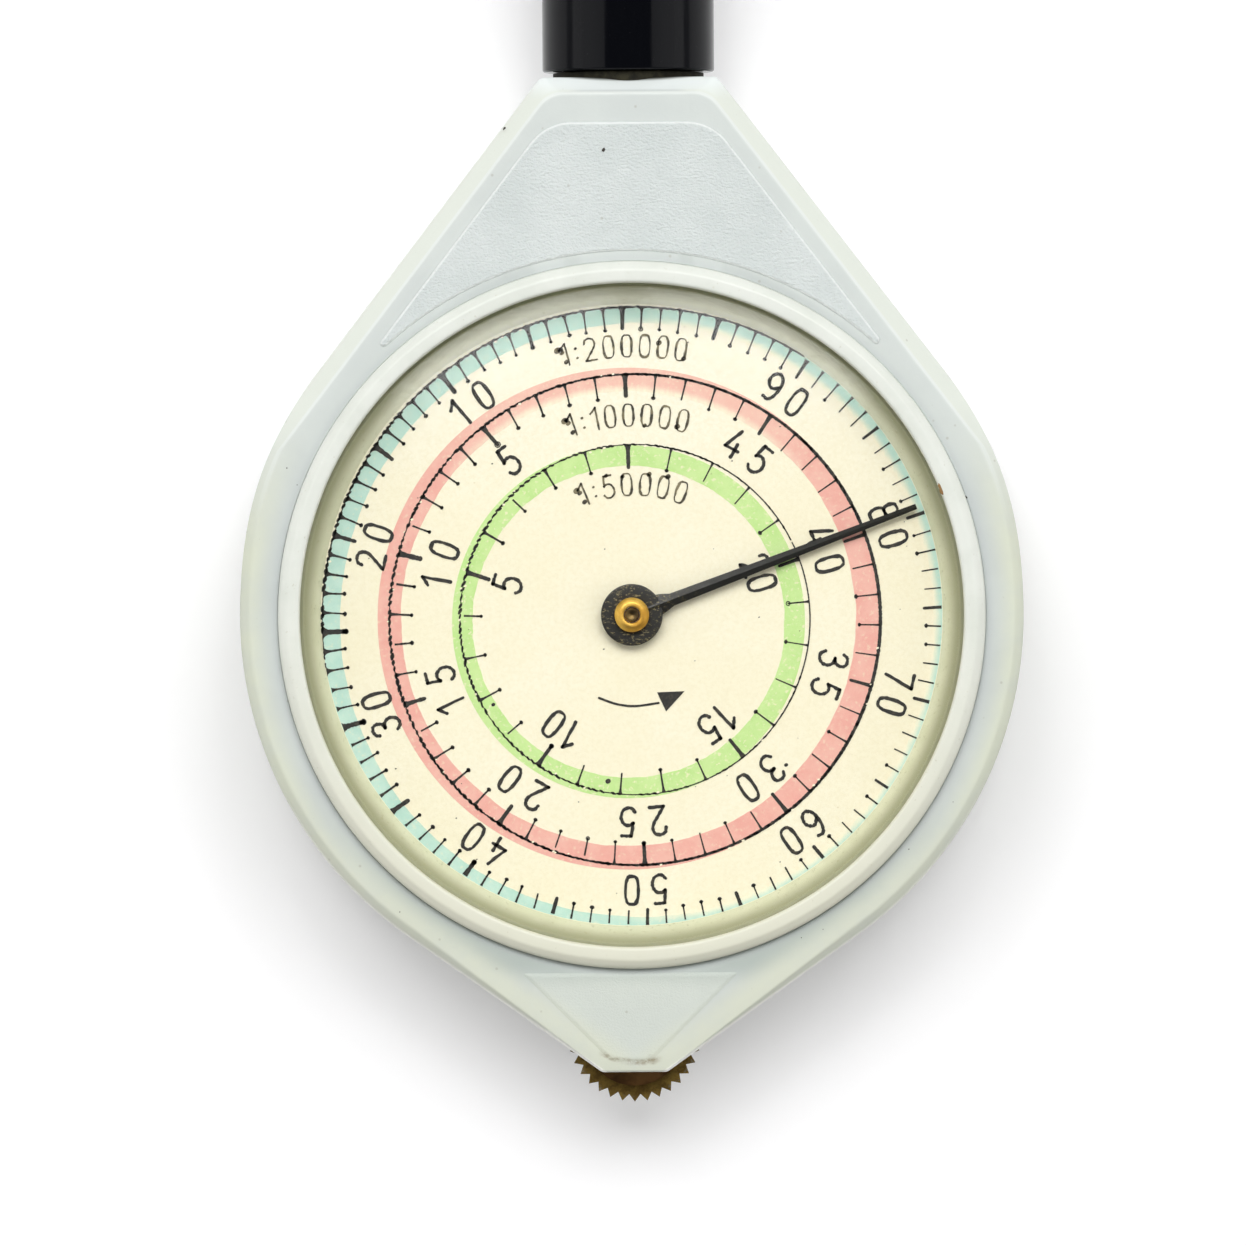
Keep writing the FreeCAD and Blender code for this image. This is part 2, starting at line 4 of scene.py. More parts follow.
import bmesh
import bpy
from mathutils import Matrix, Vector


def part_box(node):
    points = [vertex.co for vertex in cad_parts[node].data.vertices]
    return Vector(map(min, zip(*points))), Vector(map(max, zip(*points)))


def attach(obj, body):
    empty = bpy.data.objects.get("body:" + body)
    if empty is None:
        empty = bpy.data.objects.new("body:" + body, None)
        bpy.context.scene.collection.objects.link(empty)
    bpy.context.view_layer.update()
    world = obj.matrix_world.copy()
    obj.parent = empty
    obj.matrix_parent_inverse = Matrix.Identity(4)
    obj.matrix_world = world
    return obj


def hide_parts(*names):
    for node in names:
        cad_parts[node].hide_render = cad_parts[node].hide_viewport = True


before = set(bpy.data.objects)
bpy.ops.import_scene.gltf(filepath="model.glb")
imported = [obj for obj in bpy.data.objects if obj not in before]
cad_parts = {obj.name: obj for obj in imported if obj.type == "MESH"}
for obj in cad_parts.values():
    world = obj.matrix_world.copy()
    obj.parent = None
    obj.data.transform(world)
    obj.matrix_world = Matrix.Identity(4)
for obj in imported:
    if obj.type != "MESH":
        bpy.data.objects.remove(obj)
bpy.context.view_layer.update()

bl_info = {
    "name": "Map measurer",
    "version": (1, 0, 0),
    "blender": (4, 5, 0),
    "location": "3D View > Sidebar > Measurer",
    "description": "Builds the looks of a map measurer round its packed CAD model",
    "category": "Add Mesh",
}

# All lengths below are in millimetres, about the arbor of the hands and the joint plane of the case:
# X to the right, Y up to the handle, Z out of the dial. The back is the front turned about Y.
MM = 0.001
AXIS_Y = sum(corner.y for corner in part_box("front_bezel")) / 2
MID_Z = (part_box("front_bezel")[1].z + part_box("rear_bezel")[0].z) / 2


def low_of(node, axis):
    """Lowest coordinate of a CAD node in millimetres."""
    return (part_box(node)[0][axis] - (0, AXIS_Y, MID_Z)[axis]) / MM


def high_of(node, axis):
    """Highest coordinate of a CAD node in millimetres."""
    return (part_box(node)[1][axis] - (0, AXIS_Y, MID_Z)[axis]) / MM


# ---- sizes read from the frame ----

BEZEL_OUTER = high_of("front_bezel", 0)
BEZEL_TOP = high_of("front_bezel", 2)
CRYSTAL_SEAT = low_of("front_bezel", 2)
CRYSTAL_RADIUS = high_of("front_crystal", 0)
DIAL_RADIUS = high_of("front_dial", 0)
DIAL_FACE = high_of("front_dial", 2)
DIAL_BACK = low_of("front_dial", 2)
BODY_RADIUS = high_of("front_shell", 0)
FOOT_LOW = -low_of("front_shell", 1)
HANDLE_START = low_of("handle", 1)
HANDLE_END = high_of("handle", 1)
HANDLE_RADIUS = high_of("handle", 0)
HAND_LOW = low_of("front_hand", 2)
HAND_HIGH = high_of("front_hand", 2)
COLLET_RADIUS = high_of("front_collet", 0)
COLLET_TOP = high_of("front_collet", 2)
ARBOR_END = high_of("centre_arbor", 2)
WHEEL_TIP = low_of("measuring_wheel", 1)
WHEEL_RADIUS = high_of("measuring_wheel", 1) / 2 - WHEEL_TIP / 2
WHEEL_Y = WHEEL_TIP + WHEEL_RADIUS

# ---- driving sizes of the pieces ----

PAD_HEIGHT = 0.15
FOOT_PAD_HEIGHT = 0.06
FOOT_PAD_X = -0.22
CASE_DEPTH = high_of("front_shell", 2) - PAD_HEIGHT
HANDLE_GAP = 0.3
SHOULDER_TOP = HANDLE_START - HANDLE_GAP
SHOULDER_ANGLE = 52.6
FOOT_ANGLE = 35.0
BEZEL_GAP = 0.03
WALL = 1.2
WINDOW_RADIUS = 18.51
WELL_RADIUS = 19.5
DIAL_GAP = 0.2
LEG_GAP = 0.05
BEZEL_LIP = 0.64
CRYSTAL_EDGE = 0.7
CRYSTAL_BELOW = 0.2
HAND_ANGLE = 20.5
HUB_RADIUS = 1.84
HAND_LENGTH = 18.1
NECK_RADIUS = 3.8
COLLAR_RADIUS = 4.5
CREVICE_Y = 62.75              # painted shadow of the handle on the top chamfer, with painted light below it: an arc about a point on the handle's axis
CREVICE_RADIUS = 31.0
NECK_LENGTH = 8.0
NECK_BORE = 2.2
HANDLE_BORE = 3.85
HANDLE_CORE = 3.2
HANDLE_END_WALL = 2.5
HANDLE_DOME = 1.4
GROOVE_RADIUS = BEZEL_OUTER + BEZEL_GAP
POLE = 1e-6


class CaseSettings(bpy.types.PropertyGroup):
    """Shape of the moulded case."""

    edge_height: bpy.props.FloatProperty(
        name="Edge height", description="Height of the slope round the edge, in millimetres",
        default=1.3, min=0.2, max=3.0)
    top_chamfer: bpy.props.FloatProperty(
        name="Top chamfer", description="Width of the chamfer along the top edge, in millimetres",
        default=1.14, min=0.1, max=2.0)
    shoulder_chamfer: bpy.props.FloatProperty(
        name="Shoulder chamfer", description="Width of the chamfer down the upper flanks, in millimetres",
        default=1.15, min=0.1, max=2.0)
    side_rounding: bpy.props.FloatProperty(
        name="Side rounding", description="Width of the rounding at the round sides, in millimetres",
        default=0.65, min=0.1, max=2.0)
    foot_slope: bpy.props.FloatProperty(
        name="Foot slope", description="Width of the rounded slope down to the foot, in millimetres",
        default=0.15, min=0.1, max=3.0)
    grain: bpy.props.FloatProperty(
        name="Grain", description="Depth of the leather-like grain on the raised pads",
        default=0.5, min=0.0, max=1.0, subtype="FACTOR")
    # Also scales the lightening of the lower slopes that comes with the yellowing, which is painted light.
    yellowing: bpy.props.FloatProperty(
        name="Yellowing", description="How far the edges of the case have yellowed",
        default=0.75, min=0.0, max=1.0, subtype="FACTOR")


class DialSettings(bpy.types.PropertyGroup):
    """Print of the two dials."""

    turn: bpy.props.FloatProperty(
        name="Turn", description="Angle by which the print is turned on its disc",
        default=math.radians(1.98), subtype="ANGLE")
    roughness: bpy.props.FloatProperty(
        name="Print roughness", description="How much the ink lines waver and clot",
        default=1.0, min=0.0, max=2.0, subtype="FACTOR")
    ink_height: bpy.props.FloatProperty(
        name="Ink height", description="Height of the ink above the dial, in millimetres",
        default=0.03, min=0.01, max=0.1)


class StageSettings(bpy.types.PropertyGroup):
    """Camera, lamps and floor."""

    distance: bpy.props.FloatProperty(
        name="Camera distance", description="Height of the camera above the floor",
        default=0.9, min=0.2, unit="LENGTH", subtype="DISTANCE")
    view_width: bpy.props.FloatProperty(
        name="View width", description="Width of the view at the joint plane of the case",
        default=0.0744, min=0.01, unit="LENGTH", subtype="DISTANCE")
    lean: bpy.props.FloatProperty(
        name="Lean", description="Angle by which the object leans to the left in the view",
        default=math.radians(0.37), subtype="ANGLE")
    lamp_power: bpy.props.FloatProperty(
        name="Lamp power", description="Power of the lamps, of which each takes its share",
        default=5.4, min=0.0, unit="POWER")
    sky: bpy.props.FloatProperty(
        name="Sky", description="Strength of the plain surroundings",
        default=0.3, min=0.0, max=1.0)


# ---- mesh helpers ----

class Mesh:
    """Points and faces of one piece, gathered in millimetres. looks holds the material index of each face."""

    def __init__(self):
        self.points = []
        self.faces = []
        self.looks = []

    def loop(self, points):
        """Adds points and returns their numbers."""
        first = len(self.points)
        self.points += [tuple(point) for point in points]
        return list(range(first, len(self.points)))

    def face(self, corners, look=0):
        self.faces.append(tuple(corners))
        self.looks.append(look)

    def bridge(self, low, high, look=0, closed=True):
        """Quads between two loops of as many points, or a fan where one loop is a single point."""
        count = max(len(low), len(high))
        for index in range(count if closed else count - 1):
            after = (index + 1) % count
            if len(high) == 1:
                self.face((low[index], low[after], high[0]), look)
            elif len(low) == 1:
                self.face((low[0], high[after], high[index]), look)
            else:
                self.face((low[index], low[after], high[after], high[index]), look)

    def skin(self, loops, look=0, joined=False, capped=False, closed=True):
        """Bridges loops one after the other. joined leads from the last back to the first, and capped fills
        both ends. closed says that each loop runs round."""
        for low, high in zip(loops, loops[1:]):
            self.bridge(low, high, look, closed)
        if joined:
            self.bridge(loops[-1], loops[0], look, closed)
        if capped:
            self.face(reversed(loops[0]), look)
            self.face(loops[-1], look)

    def turned(self, profile, steps, centre_y=0.0, joined=True, along_y=False):
        """Surface turned about a line along Z or Y. The profile holds pairs of radius and height."""
        loops = []
        for radius, height in profile:
            ring = []
            for index in range(1 if radius < POLE else steps):
                angle = 2 * math.pi * index / steps
                across = radius * math.cos(angle)
                other = centre_y + radius * math.sin(angle)
                ring.append((across, height, other) if along_y else (across, other, height))
            loops.append(self.loop(ring))
        self.skin(loops, joined=joined)
        return loops

    def ribbon(self, line, widths, low, high, closed=False):
        """Flat band along a line of pairs, as wide at each point as widths says."""
        sections = []
        count = len(line)
        for index, (point, width) in enumerate(zip(line, widths)):
            before = line[index - 1] if index or closed else point
            after = line[(index + 1) % count] if index + 1 < count or closed else point
            along = Vector(after) - Vector(before)
            along.normalize()
            across = Vector((-along.y, along.x)) * width / 2
            left = Vector(point) + across
            right = Vector(point) - across
            sections.append(self.loop([(*left, high), (*left, low), (*right, low), (*right, high)]))
        self.skin(sections, joined=closed, capped=not closed)

    def stroke(self, line, widths, low, high, square_start=False):
        """Ribbon with round ends."""
        line = [Vector(point) for point in line]
        if isinstance(widths, float):
            widths = [widths] * len(line)
        start, end = line[0], line[-1]
        back = (start - line[1]).normalized() * widths[0] / 2
        on = (end - line[-2]).normalized() * widths[-1] / 2
        caps = [math.radians(angle) for angle in (85, 65, 45, 25)]
        points = [start + back * math.sin(cap) for cap in caps if not square_start] + line
        points += [end + on * math.sin(cap) for cap in reversed(caps)]
        sizes = [widths[0] * math.cos(cap) for cap in caps if not square_start] + list(widths)
        sizes += [widths[-1] * math.cos(cap) for cap in reversed(caps)]
        self.ribbon(points, sizes, low, high)

    def data(self, name, points):
        """Blender mesh of the faces, with its normals outwards."""
        mesh = bpy.data.meshes.new(name)
        mesh.from_pydata(points, [], self.faces)
        mesh.polygons.foreach_set("material_index", self.looks)
        tidy = bmesh.new()
        tidy.from_mesh(mesh)
        bmesh.ops.recalc_face_normals(tidy, faces=tidy.faces)
        tidy.to_mesh(mesh)
        tidy.free()
        return mesh

    def piece(self, name, side, body, looks, stands_for=(), sharp=32.0):
        """Makes the Blender object, in place, and ties it to its body. A {} in a name is front or rear."""
        name, *stands_for = [text.format(side_name(side)) for text in (name, *stands_for)]
        mesh = self.data(name, [(side * x * MM, y * MM + AXIS_Y, side * z * MM + MID_Z)
                                for x, y, z in self.points])
        mesh.shade_smooth()
        mesh.set_sharp_from_angle(angle=math.radians(sharp))
        for each in looks:
            mesh.materials.append(look(each))
        made = add_object(name, mesh)
        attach(made, body)
        if stands_for:
            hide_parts(*stands_for)
        return made


def add_object(name, data):
    """New object in the scene."""
    made = bpy.data.objects.new(name, data)
    bpy.context.scene.collection.objects.link(made)
    return made


def polar(radius, degrees):
    """Pair at a distance and an angle from the X axis."""
    turn = math.radians(degrees)
    return Vector((radius * math.cos(turn), radius * math.sin(turn)))


def softened(profile, radius, closed=True):
    """Profile with its corners rounded off, except those on the axis."""
    steps = 4
    most = 0.45                # share of an edge that a rounding takes up
    out = []
    count = len(profile)
    for index, corner in enumerate(profile):
        corner = Vector(corner)
        if corner.x < POLE or (not closed and index in (0, count - 1)):
            out.append(corner)
            continue
        before = Vector(profile[index - 1]) - corner
        after = Vector(profile[(index + 1) % count]) - corner
        start = corner + before.normalized() * min(radius, before.length * most)
        end = corner + after.normalized() * min(radius, after.length * most)
        for step in range(steps + 1):
            share = step / steps
            out.append(start * (1 - share) ** 2 + corner * 2 * share * (1 - share) + end * share ** 2)
    return out


def side_name(side):
    """front or rear."""
    return "front" if side > 0 else "rear"


# ---- materials ----

def srgb(*values):
    """Linear colour of three values from 0 to 255."""
    return (*(v / 255 / 12.92 if v <= 10 else ((v / 255 + 0.055) / 1.055) ** 2.4 for v in values), 1.0)


EVEN = (1.0, 1.0, 1.0)


class Look:
    """One procedural material. Texture places are in metres, in the row frame. Colours given to its methods
    are three values from 0 to 255, or a socket."""

    def __init__(self, name):
        self.material = bpy.data.materials.new(name)
        self.material.use_nodes = True
        self.tree = self.material.node_tree
        self.tree.nodes.clear()
        self.output = self.tree.nodes.new("ShaderNodeOutputMaterial")
        self.place = self.node("ShaderNodeTexCoord").outputs["Object"]

    def node(self, kind, inputs=None, **settings):
        """Adds a node. Each input is a value, or the socket that feeds it."""
        made = self.tree.nodes.new(kind)
        for key, value in settings.items():
            setattr(made, key, value)
        for key, value in (inputs or {}).items():
            if isinstance(value, bpy.types.NodeSocket):
                self.tree.links.new(value, made.inputs[key])
            else:
                made.inputs[key].default_value = value
        return made

    def shown(self, shader):
        """Puts a shader on the surface and returns the finished material."""
        self.tree.links.new(shader.outputs[0], self.output.inputs["Surface"])
        return self.material

    def surface(self, colour, roughness, normal, **others):
        """Finished material with a Principled surface. An underscore in a name stands for a space."""
        inputs = {name.replace("_", " "): value for name, value in others.items()}
        return self.shown(self.node("ShaderNodeBsdfPrincipled", {
            "Base Color": colour, "Roughness": roughness, "Normal": normal, **inputs}))

    def stretched(self, stretch):
        """Texture place, scaled along each axis."""
        return self.node("ShaderNodeMapping", {"Vector": self.place, "Scale": stretch}).outputs[0]

    def noise(self, size, detail, roughness, stretch=EVEN):
        """Noise from 0 to 1 with features of about size millimetres."""
        return self.node("ShaderNodeTexNoise", {
            "Vector": self.stretched(stretch), "Scale": 1 / (size * MM), "Detail": detail,
            "Roughness": roughness}).outputs[0]

    def spots(self, size):
        """Distance to the nearest of scattered points about size millimetres apart."""
        return self.node("ShaderNodeTexVoronoi", {
            "Vector": self.stretched(EVEN), "Scale": 1 / (size * MM)}).outputs["Distance"]

    def spread(self, value, low, high, to_low=0.0, to_high=1.0):
        """Value, stretched from one range to another and held inside it."""
        return self.node("ShaderNodeMapRange", {
            "Value": value, "From Min": low, "From Max": high, "To Min": to_low,
            "To Max": to_high}, interpolation_type="SMOOTHSTEP").outputs[0]

    def lengths(self, value, low, high, to_low=0.0, to_high=1.0):
        """Spread of a length in metres, between two lengths in millimetres."""
        return self.spread(value, low * MM, high * MM, to_low, to_high)

    def rows(self, low, high, to_low=0.0, to_high=1.0):
        """Spread along Y, between two heights in millimetres over the middle of the dial."""
        return self.spread(self.axis("Y"), AXIS_Y + low * MM, AXIS_Y + high * MM, to_low, to_high)

    def near(self, x, y, far, close, to_far=0.0, to_close=1.0):
        """Spread by the distance from a line along Z, between two distances in millimetres."""
        return self.lengths(self.reach(x, y), far, close, to_far, to_close)

    def maths(self, operation, one, other=0.0):
        return self.node("ShaderNodeMath", {0: one, 1: other}, operation=operation).outputs[0]

    def times(self, product, *others):
        """Product of values and sockets."""
        for other in others:
            product = self.maths("MULTIPLY", product, other)
        return product

    def blend(self, share, one, other):
        """Mix of two colours."""
        one, other = [srgb(*colour) if isinstance(colour, tuple) else colour for colour in (one, other)]
        return self.node("ShaderNodeMixRGB", {"Fac": share, "Color1": one, "Color2": other}).outputs[0]

    def coats(self, colour, *layers):
        """Colour with others laid over it, each as strong as its share."""
        for share, tint in layers:
            colour = self.blend(share, colour, tint)
        return colour

    def mottled(self, size, roughness, low, high, one, other):
        """Two colours in patches, and the noise that parts them."""
        noise = self.noise(size, 4.0, roughness)
        return self.blend(self.spread(noise, low, high), one, other), noise

    def axis(self, letter):
        """One coordinate, in metres."""
        return self.node("ShaderNodeSeparateXYZ", {"Vector": self.place}).outputs[letter]

    def reach(self, x, y):
        """Distance in metres from a line along Z through a point given in millimetres."""
        flat = self.node("ShaderNodeCombineXYZ", {"X": self.axis("X"), "Y": self.axis("Y"), "Z": MID_Z})
        return self.node("ShaderNodeVectorMath", {0: flat.outputs[0], 1: (x * MM, y * MM + AXIS_Y, MID_Z)},
                         operation="DISTANCE").outputs["Value"]

    def from_edge(self):
        """Distance in metres from the outline of the case."""
        across = self.maths("ABSOLUTE", self.axis("X"))
        along = self.maths("SUBTRACT", self.axis("Y"), AXIS_Y)
        angle = self.maths("ARCTAN2", along, across)
        angle = self.maths("MINIMUM", angle, math.radians(90 - SHOULDER_ANGLE))
        angle = self.maths("MAXIMUM", angle, math.radians(FOOT_ANGLE - 90))
        reach = self.maths("ADD", self.times(across, self.maths("COSINE", angle)),
                           self.times(along, self.maths("SINE", angle)))
        return self.maths("SUBTRACT", BODY_RADIUS * MM, reach)

    def bump(self, height, depth, under=None):
        """Bump about depth millimetres deep, on top of another."""
        inputs = {"Height": height, "Distance": depth * MM, "Strength": 1.0}
        if under is not None:
            inputs["Normal"] = under
        return self.node("ShaderNodeBump", inputs).outputs[0]


def plastic(name, one, other, grain_size, grain_depth, grain_stretch=EVEN, raised_by=0.0):
    """Pale grey moulded plastic: faint mottling, yellowed edge and lower slopes, dirt at the foot. Painted
    light
    and shade: the yellowed slopes lightened, shade round and below the bezel, light on the upper chamfers,
    highlights along their knee and the lower edge, the handle's shadow on the top chamfer with light below
    it. raised_by is the height of a pad with a painted highlight along its edge."""
    case = bpy.context.scene.measurer_case
    made = Look(name)
    away = made.maths("ABSOLUTE", made.maths("SUBTRACT", made.axis("Z"), MID_Z))
    depth = made.from_edge()

    def inwards(low, high):
        """Spread by the distance from the outline."""
        return made.lengths(depth, low, high)

    def levels(low, high):
        """Spread by the height over the face of the case."""
        return made.lengths(away, CASE_DEPTH + low, CASE_DEPTH + high)

    upper = made.rows(4, 13)
    lower = made.rows(-8, -18)
    rim = inwards(2.1, 0.5)
    # Yellowed edge and lower slopes. The tint is also lighter than the face there: painted light on the
    # slopes.
    yellow = made.maths("MAXIMUM", made.times(rim, made.maths("SUBTRACT", 1.0, upper)),
                        made.times(inwards(2.6, 0.9), lower))
    yellow = made.times(yellow, made.spread(made.noise(2.5, 3.0, 0.6), 0.25, 0.6, 0.72, 1.0), case.yellowing)
    shade = made.times(made.rows(-10, -19, 0.0, 0.75), made.maths("SUBTRACT", 1.0, rim),
                       made.rows(-22.4, -20.6))
    # Painted shade: a bluish-grey darkening of the face in a ring round the bezel.
    ring = made.near(0.0, 0.0, GROOVE_RADIUS + 0.55, GROOVE_RADIUS + 0.1, 0.0, 0.4)
    # Painted light: the chamfers down the upper flanks lightened.
    chamfer_light = made.times(levels(-0.03, -0.2), upper, inwards(2.4, 1.5))
    # Painted highlight along the knee of the upper chamfers.
    ridge = made.times(levels(0.01, -0.04), levels(-0.22, -0.12), upper, 0.8)
    # Painted light on the top chamfer just under the handle.
    shine = made.times(made.near(0.0, CREVICE_Y, CREVICE_RADIUS + 1.8, CREVICE_RADIUS + 0.2),
                       levels(-0.1, -0.4))
    # Painted shadow of the handle: a dark crescent on the top chamfer.
    handle_shadow = made.near(0.0, CREVICE_Y, CREVICE_RADIUS + 0.1, CREVICE_RADIUS - 0.14)
    # Painted highlight: a thin pale line along the lower edge.
    line = made.times(inwards(0.3, 0.12), lower)
    colour = made.coats(
        made.mottled(6.0, 0.6, 0.35, 0.65, one, other)[0],
        (shade, (168, 178, 171)), (yellow, made.blend(lower, (216, 220, 196), (214, 217, 196))),
        (ring, (186, 192, 194)), (chamfer_light, (222, 227, 217)), (ridge, (230, 235, 230)),
        (shine, (233, 239, 237)), (handle_shadow, (44, 43, 32)), (line, (252, 252, 244)))
    if raised_by:
        # Painted highlight along the edge of a raised pad.
        edge = made.times(levels(0.0, raised_by * 0.4), levels(raised_by - 0.002, raised_by * 0.75))
        colour = made.blend(edge, colour, (232, 236, 234))
    grime = made.spread(made.noise(0.45, 5.0, 0.7, (1.0, 1.6, 1.0)), 0.4, 0.6, 0.1, 0.6)
    arc = made.maths("ABSOLUTE", made.maths("SUBTRACT", made.reach(0.2, 5.2 - FOOT_LOW), 4.55 * MM))
    arc = made.times(made.lengths(arc, 0.26, 0.04), made.near(-0.3, 0.7 - FOOT_LOW, 2.1, 1.2), grime)
    dab = made.times(made.near(1.05, 0.82 - FOOT_LOW, 0.42, 0.06),
                     made.spread(made.noise(0.5, 3.0, 0.6, (0.7, 1.6, 1.0)), 0.42, 0.6, 0.1, 0.9))
    dirt = made.spread(made.spots(1.6), 0.075, 0.03, 0.0, 0.35)
    dust = made.spread(made.noise(0.18, 2.0, 0.5), 0.72, 0.8, 0.0, 0.3)
    colour = made.coats(colour, (arc, (128, 108, 70)), (dab, (112, 88, 48)), (dirt, (150, 146, 128)),
                        (dust, (170, 168, 150)))
    if name != "case_plastic":
        grain_depth *= case.grain
    normal = made.bump(made.noise(grain_size, 3.0, 0.55, grain_stretch), grain_depth)
    if grain_depth > 0.01:
        normal = made.bump(made.noise(grain_size * 0.5, 2.0, 0.5), grain_depth * 0.3, normal)
    normal = made.bump(made.noise(2.2, 2.0, 0.4), 0.012, normal)
    rough = made.spread(made.noise(0.8, 2.0, 0.4, (6.0, 0.5, 1.0)), 0.3, 0.75, 0.36, 0.5)
    return made.surface(colour, rough, normal, Specular_IOR_Level=0.4)


def well_plastic(name):
    """Wall between the window and the dial: yellowed, lightened towards the top as painted light, darker
    towards the bezel as painted shade, with specks of dust.
    """
    made = Look(name)
    colour = made.coats(
        made.mottled(1.4, 0.65, 0.3, 0.7, (219, 221, 191), (227, 228, 201))[0],
        # Painted light: the upper part of the wall lightened.
        (made.rows(6, 17, 0.0, 0.8), (253, 254, 238)),
        # Painted shade: darker towards the bezel, under its lip.
        (made.near(0.0, 0.0, WINDOW_RADIUS + 0.1, WELL_RADIUS), (160, 162, 132)),
        (made.spread(made.noise(0.25, 4.0, 0.6), 0.58, 0.72, 0.0, 0.5), (168, 166, 128)))
    return made.surface(colour, 0.55, made.bump(made.noise(0.4, 3.0, 0.5), 0.01))


def neck_plastic(name):
    """Dark olive painted shade on the neck where the handle meets the case: the shade in the gap under the
    handle.
    """
    made = Look(name)
    colour, mottle = made.mottled(0.5, 0.65, 0.3, 0.7, (24, 23, 16), (50, 48, 34))
    return made.surface(colour, 0.6, made.bump(mottle, 0.02), Specular_IOR_Level=0.12)


def bezel_plastic(name):
    """Warm white ring with hairline scratches and a little grime."""
    made = Look(name)
    colour = made.coats(
        made.mottled(3.0, 0.6, 0.3, 0.7, (218, 222, 213), (226, 229, 221))[0],
        (made.rows(4, -18, 0.0, 0.85), (221, 220, 200)),
        (made.spread(made.noise(0.35, 4.0, 0.65), 0.64, 0.76, 0.0, 0.4), (172, 166, 136)))
    rough = made.spread(made.noise(0.5, 3.0, 0.5, (1.0, 5.0, 1.0)), 0.3, 0.7, 0.3, 0.46)
    return made.surface(colour, rough, made.bump(made.noise(0.6, 3.0, 0.5), 0.01), Specular_IOR_Level=0.45)


def crystal_clear(name):
    """Clear plastic: transparent, with a reflection that grows towards grazing angles."""
    made = Look(name)
    normal = made.bump(made.noise(5.0, 2.0, 0.4), 0.004)
    rough = made.spread(made.noise(0.7, 4.0, 0.6, (1.0, 4.0, 1.0)), 0.35, 0.75, 0.06, 0.16)
    clear = made.node("ShaderNodeBsdfTransparent", {"Color": (1.0, 0.998, 0.985, 1.0)})
    shine = made.node("ShaderNodeBsdfGlossy", {
        "Color": (0.9, 0.9, 0.9, 1.0), "Roughness": rough, "Normal": normal})
    fresnel = made.node("ShaderNodeFresnel", {"IOR": 1.45, "Normal": normal})
    entering = made.maths("SUBTRACT", 1.0, made.node("ShaderNodeNewGeometry").outputs["Backfacing"])
    return made.shown(made.node("ShaderNodeMixShader", {
        0: made.times(fresnel.outputs[0], entering), 1: clear.outputs[0], 2: shine.outputs[0]}))


def dial_card(name):
    """Cream lacquered card with fine specks."""
    made = Look(name)
    fibre = made.noise(0.22, 4.0, 0.65)
    specks = made.times(made.spread(made.spots(1.3), 0.045, 0.02, 0.0, 0.45),
                        made.spread(made.noise(4.0, 2.0, 0.5), 0.45, 0.6))
    colour = made.coats(
        made.mottled(7.0, 0.6, 0.3, 0.7, (250, 244, 219), (252, 247, 226))[0],
        # Painted light: the card lightened towards the top of the dial.
        (made.rows(5, 16, 0.0, 0.6), (255, 252, 240)),
        (made.spread(fibre, 0.35, 0.7, 0.0, 0.35), (238, 229, 196)), (specks, (196, 176, 120)))
    return made.surface(colour, 0.55, made.bump(fibre, 0.004))


def band_ink(name, one, other, holes, fade=None):
    """Printed colour band: uneven, with tiny gaps that show the card. fade gives the axis along which it
    pales at its inner edge, the metres between which that sets in, and the share of the pale tone
    further out."""
    made = Look(name)
    colour, mottle = made.mottled(1.1, 0.65, 0.3, 0.7, one, other)
    gaps = made.spread(made.noise(0.24, 3.0, 0.6), 0.56, 0.7, 0.0, holes)
    colour = made.blend(gaps, colour, (247, 240, 212))
    if fade:
        axis, start, end, beyond = fade
        centre, inner, _ = BANDS[name]
        streaks = made.spread(made.noise(0.5, 3.0, 0.6, (2.0, 0.6, 1.0)), 0.3, 0.65, 0.75, 1.0)
        pale = made.times(made.near(*centre, inner + FADE_WIDTH, inner, beyond),
                          made.spread(made.axis(axis), start, end), streaks)
        colour = made.blend(pale, colour, (252, 246, 222))
    return made.surface(colour, 0.55, made.bump(mottle, 0.003))


def ink(name, size, low, high, one, other):
    """Black printing ink, paler and browner where it is thin."""
    made = Look(name)
    colour, thin = made.mottled(size, 0.6, low, high, one, other)
    return made.surface(colour, 0.5, made.bump(thin, 0.004))


def hand_lacquer(name):
    """Black lacquered steel, rubbed pale in short scratches near the hub."""
    made = Look(name)
    wear = made.noise(0.22, 5.0, 0.7, (1.0, 2.2, 1.0))
    bare = made.times(made.spread(wear, 0.55, 0.66), made.near(0.0, 0.0, 5.2, 1.0))
    return made.surface(made.blend(bare, (20, 20, 19), (150, 138, 98)),
                        made.spread(wear, 0.3, 0.7, 0.32, 0.5), made.bump(wear, 0.01))


def metal(name, one, other, rough_low, rough_high, streak=EVEN):
    """Metal with tarnish in patches and fine marks."""
    made = Look(name)
    marks = made.noise(0.5, 4.0, 0.6, streak)
    return made.surface(made.mottled(1.5, 0.6, 0.35, 0.68, one, other)[0],
                        made.spread(marks, 0.3, 0.7, rough_low, rough_high), made.bump(marks, 0.006),
                        Metallic=1.0)


def wheel_brass(name):
    """Dark worn brass with pale dirt packed between the teeth."""
    made = Look(name)
    dirt = made.times(made.near(0.0, WHEEL_Y, WHEEL_RADIUS - 0.5, WHEEL_RADIUS - 0.1),
                      made.spread(made.noise(0.3, 3.0, 0.6), 0.5, 0.66, 0.0, 0.6))
    colour = made.mottled(0.6, 0.65, 0.35, 0.65, (150, 124, 62), (112, 88, 42))[0]
    marks = made.noise(0.3, 4.0, 0.6)
    return made.surface(made.blend(dirt, colour, (170, 164, 140)), made.spread(marks, 0.3, 0.7, 0.35, 0.6),
                        made.bump(marks, 0.012), Metallic=made.spread(dirt, 0.0, 1.0, 0.85, 0.1))


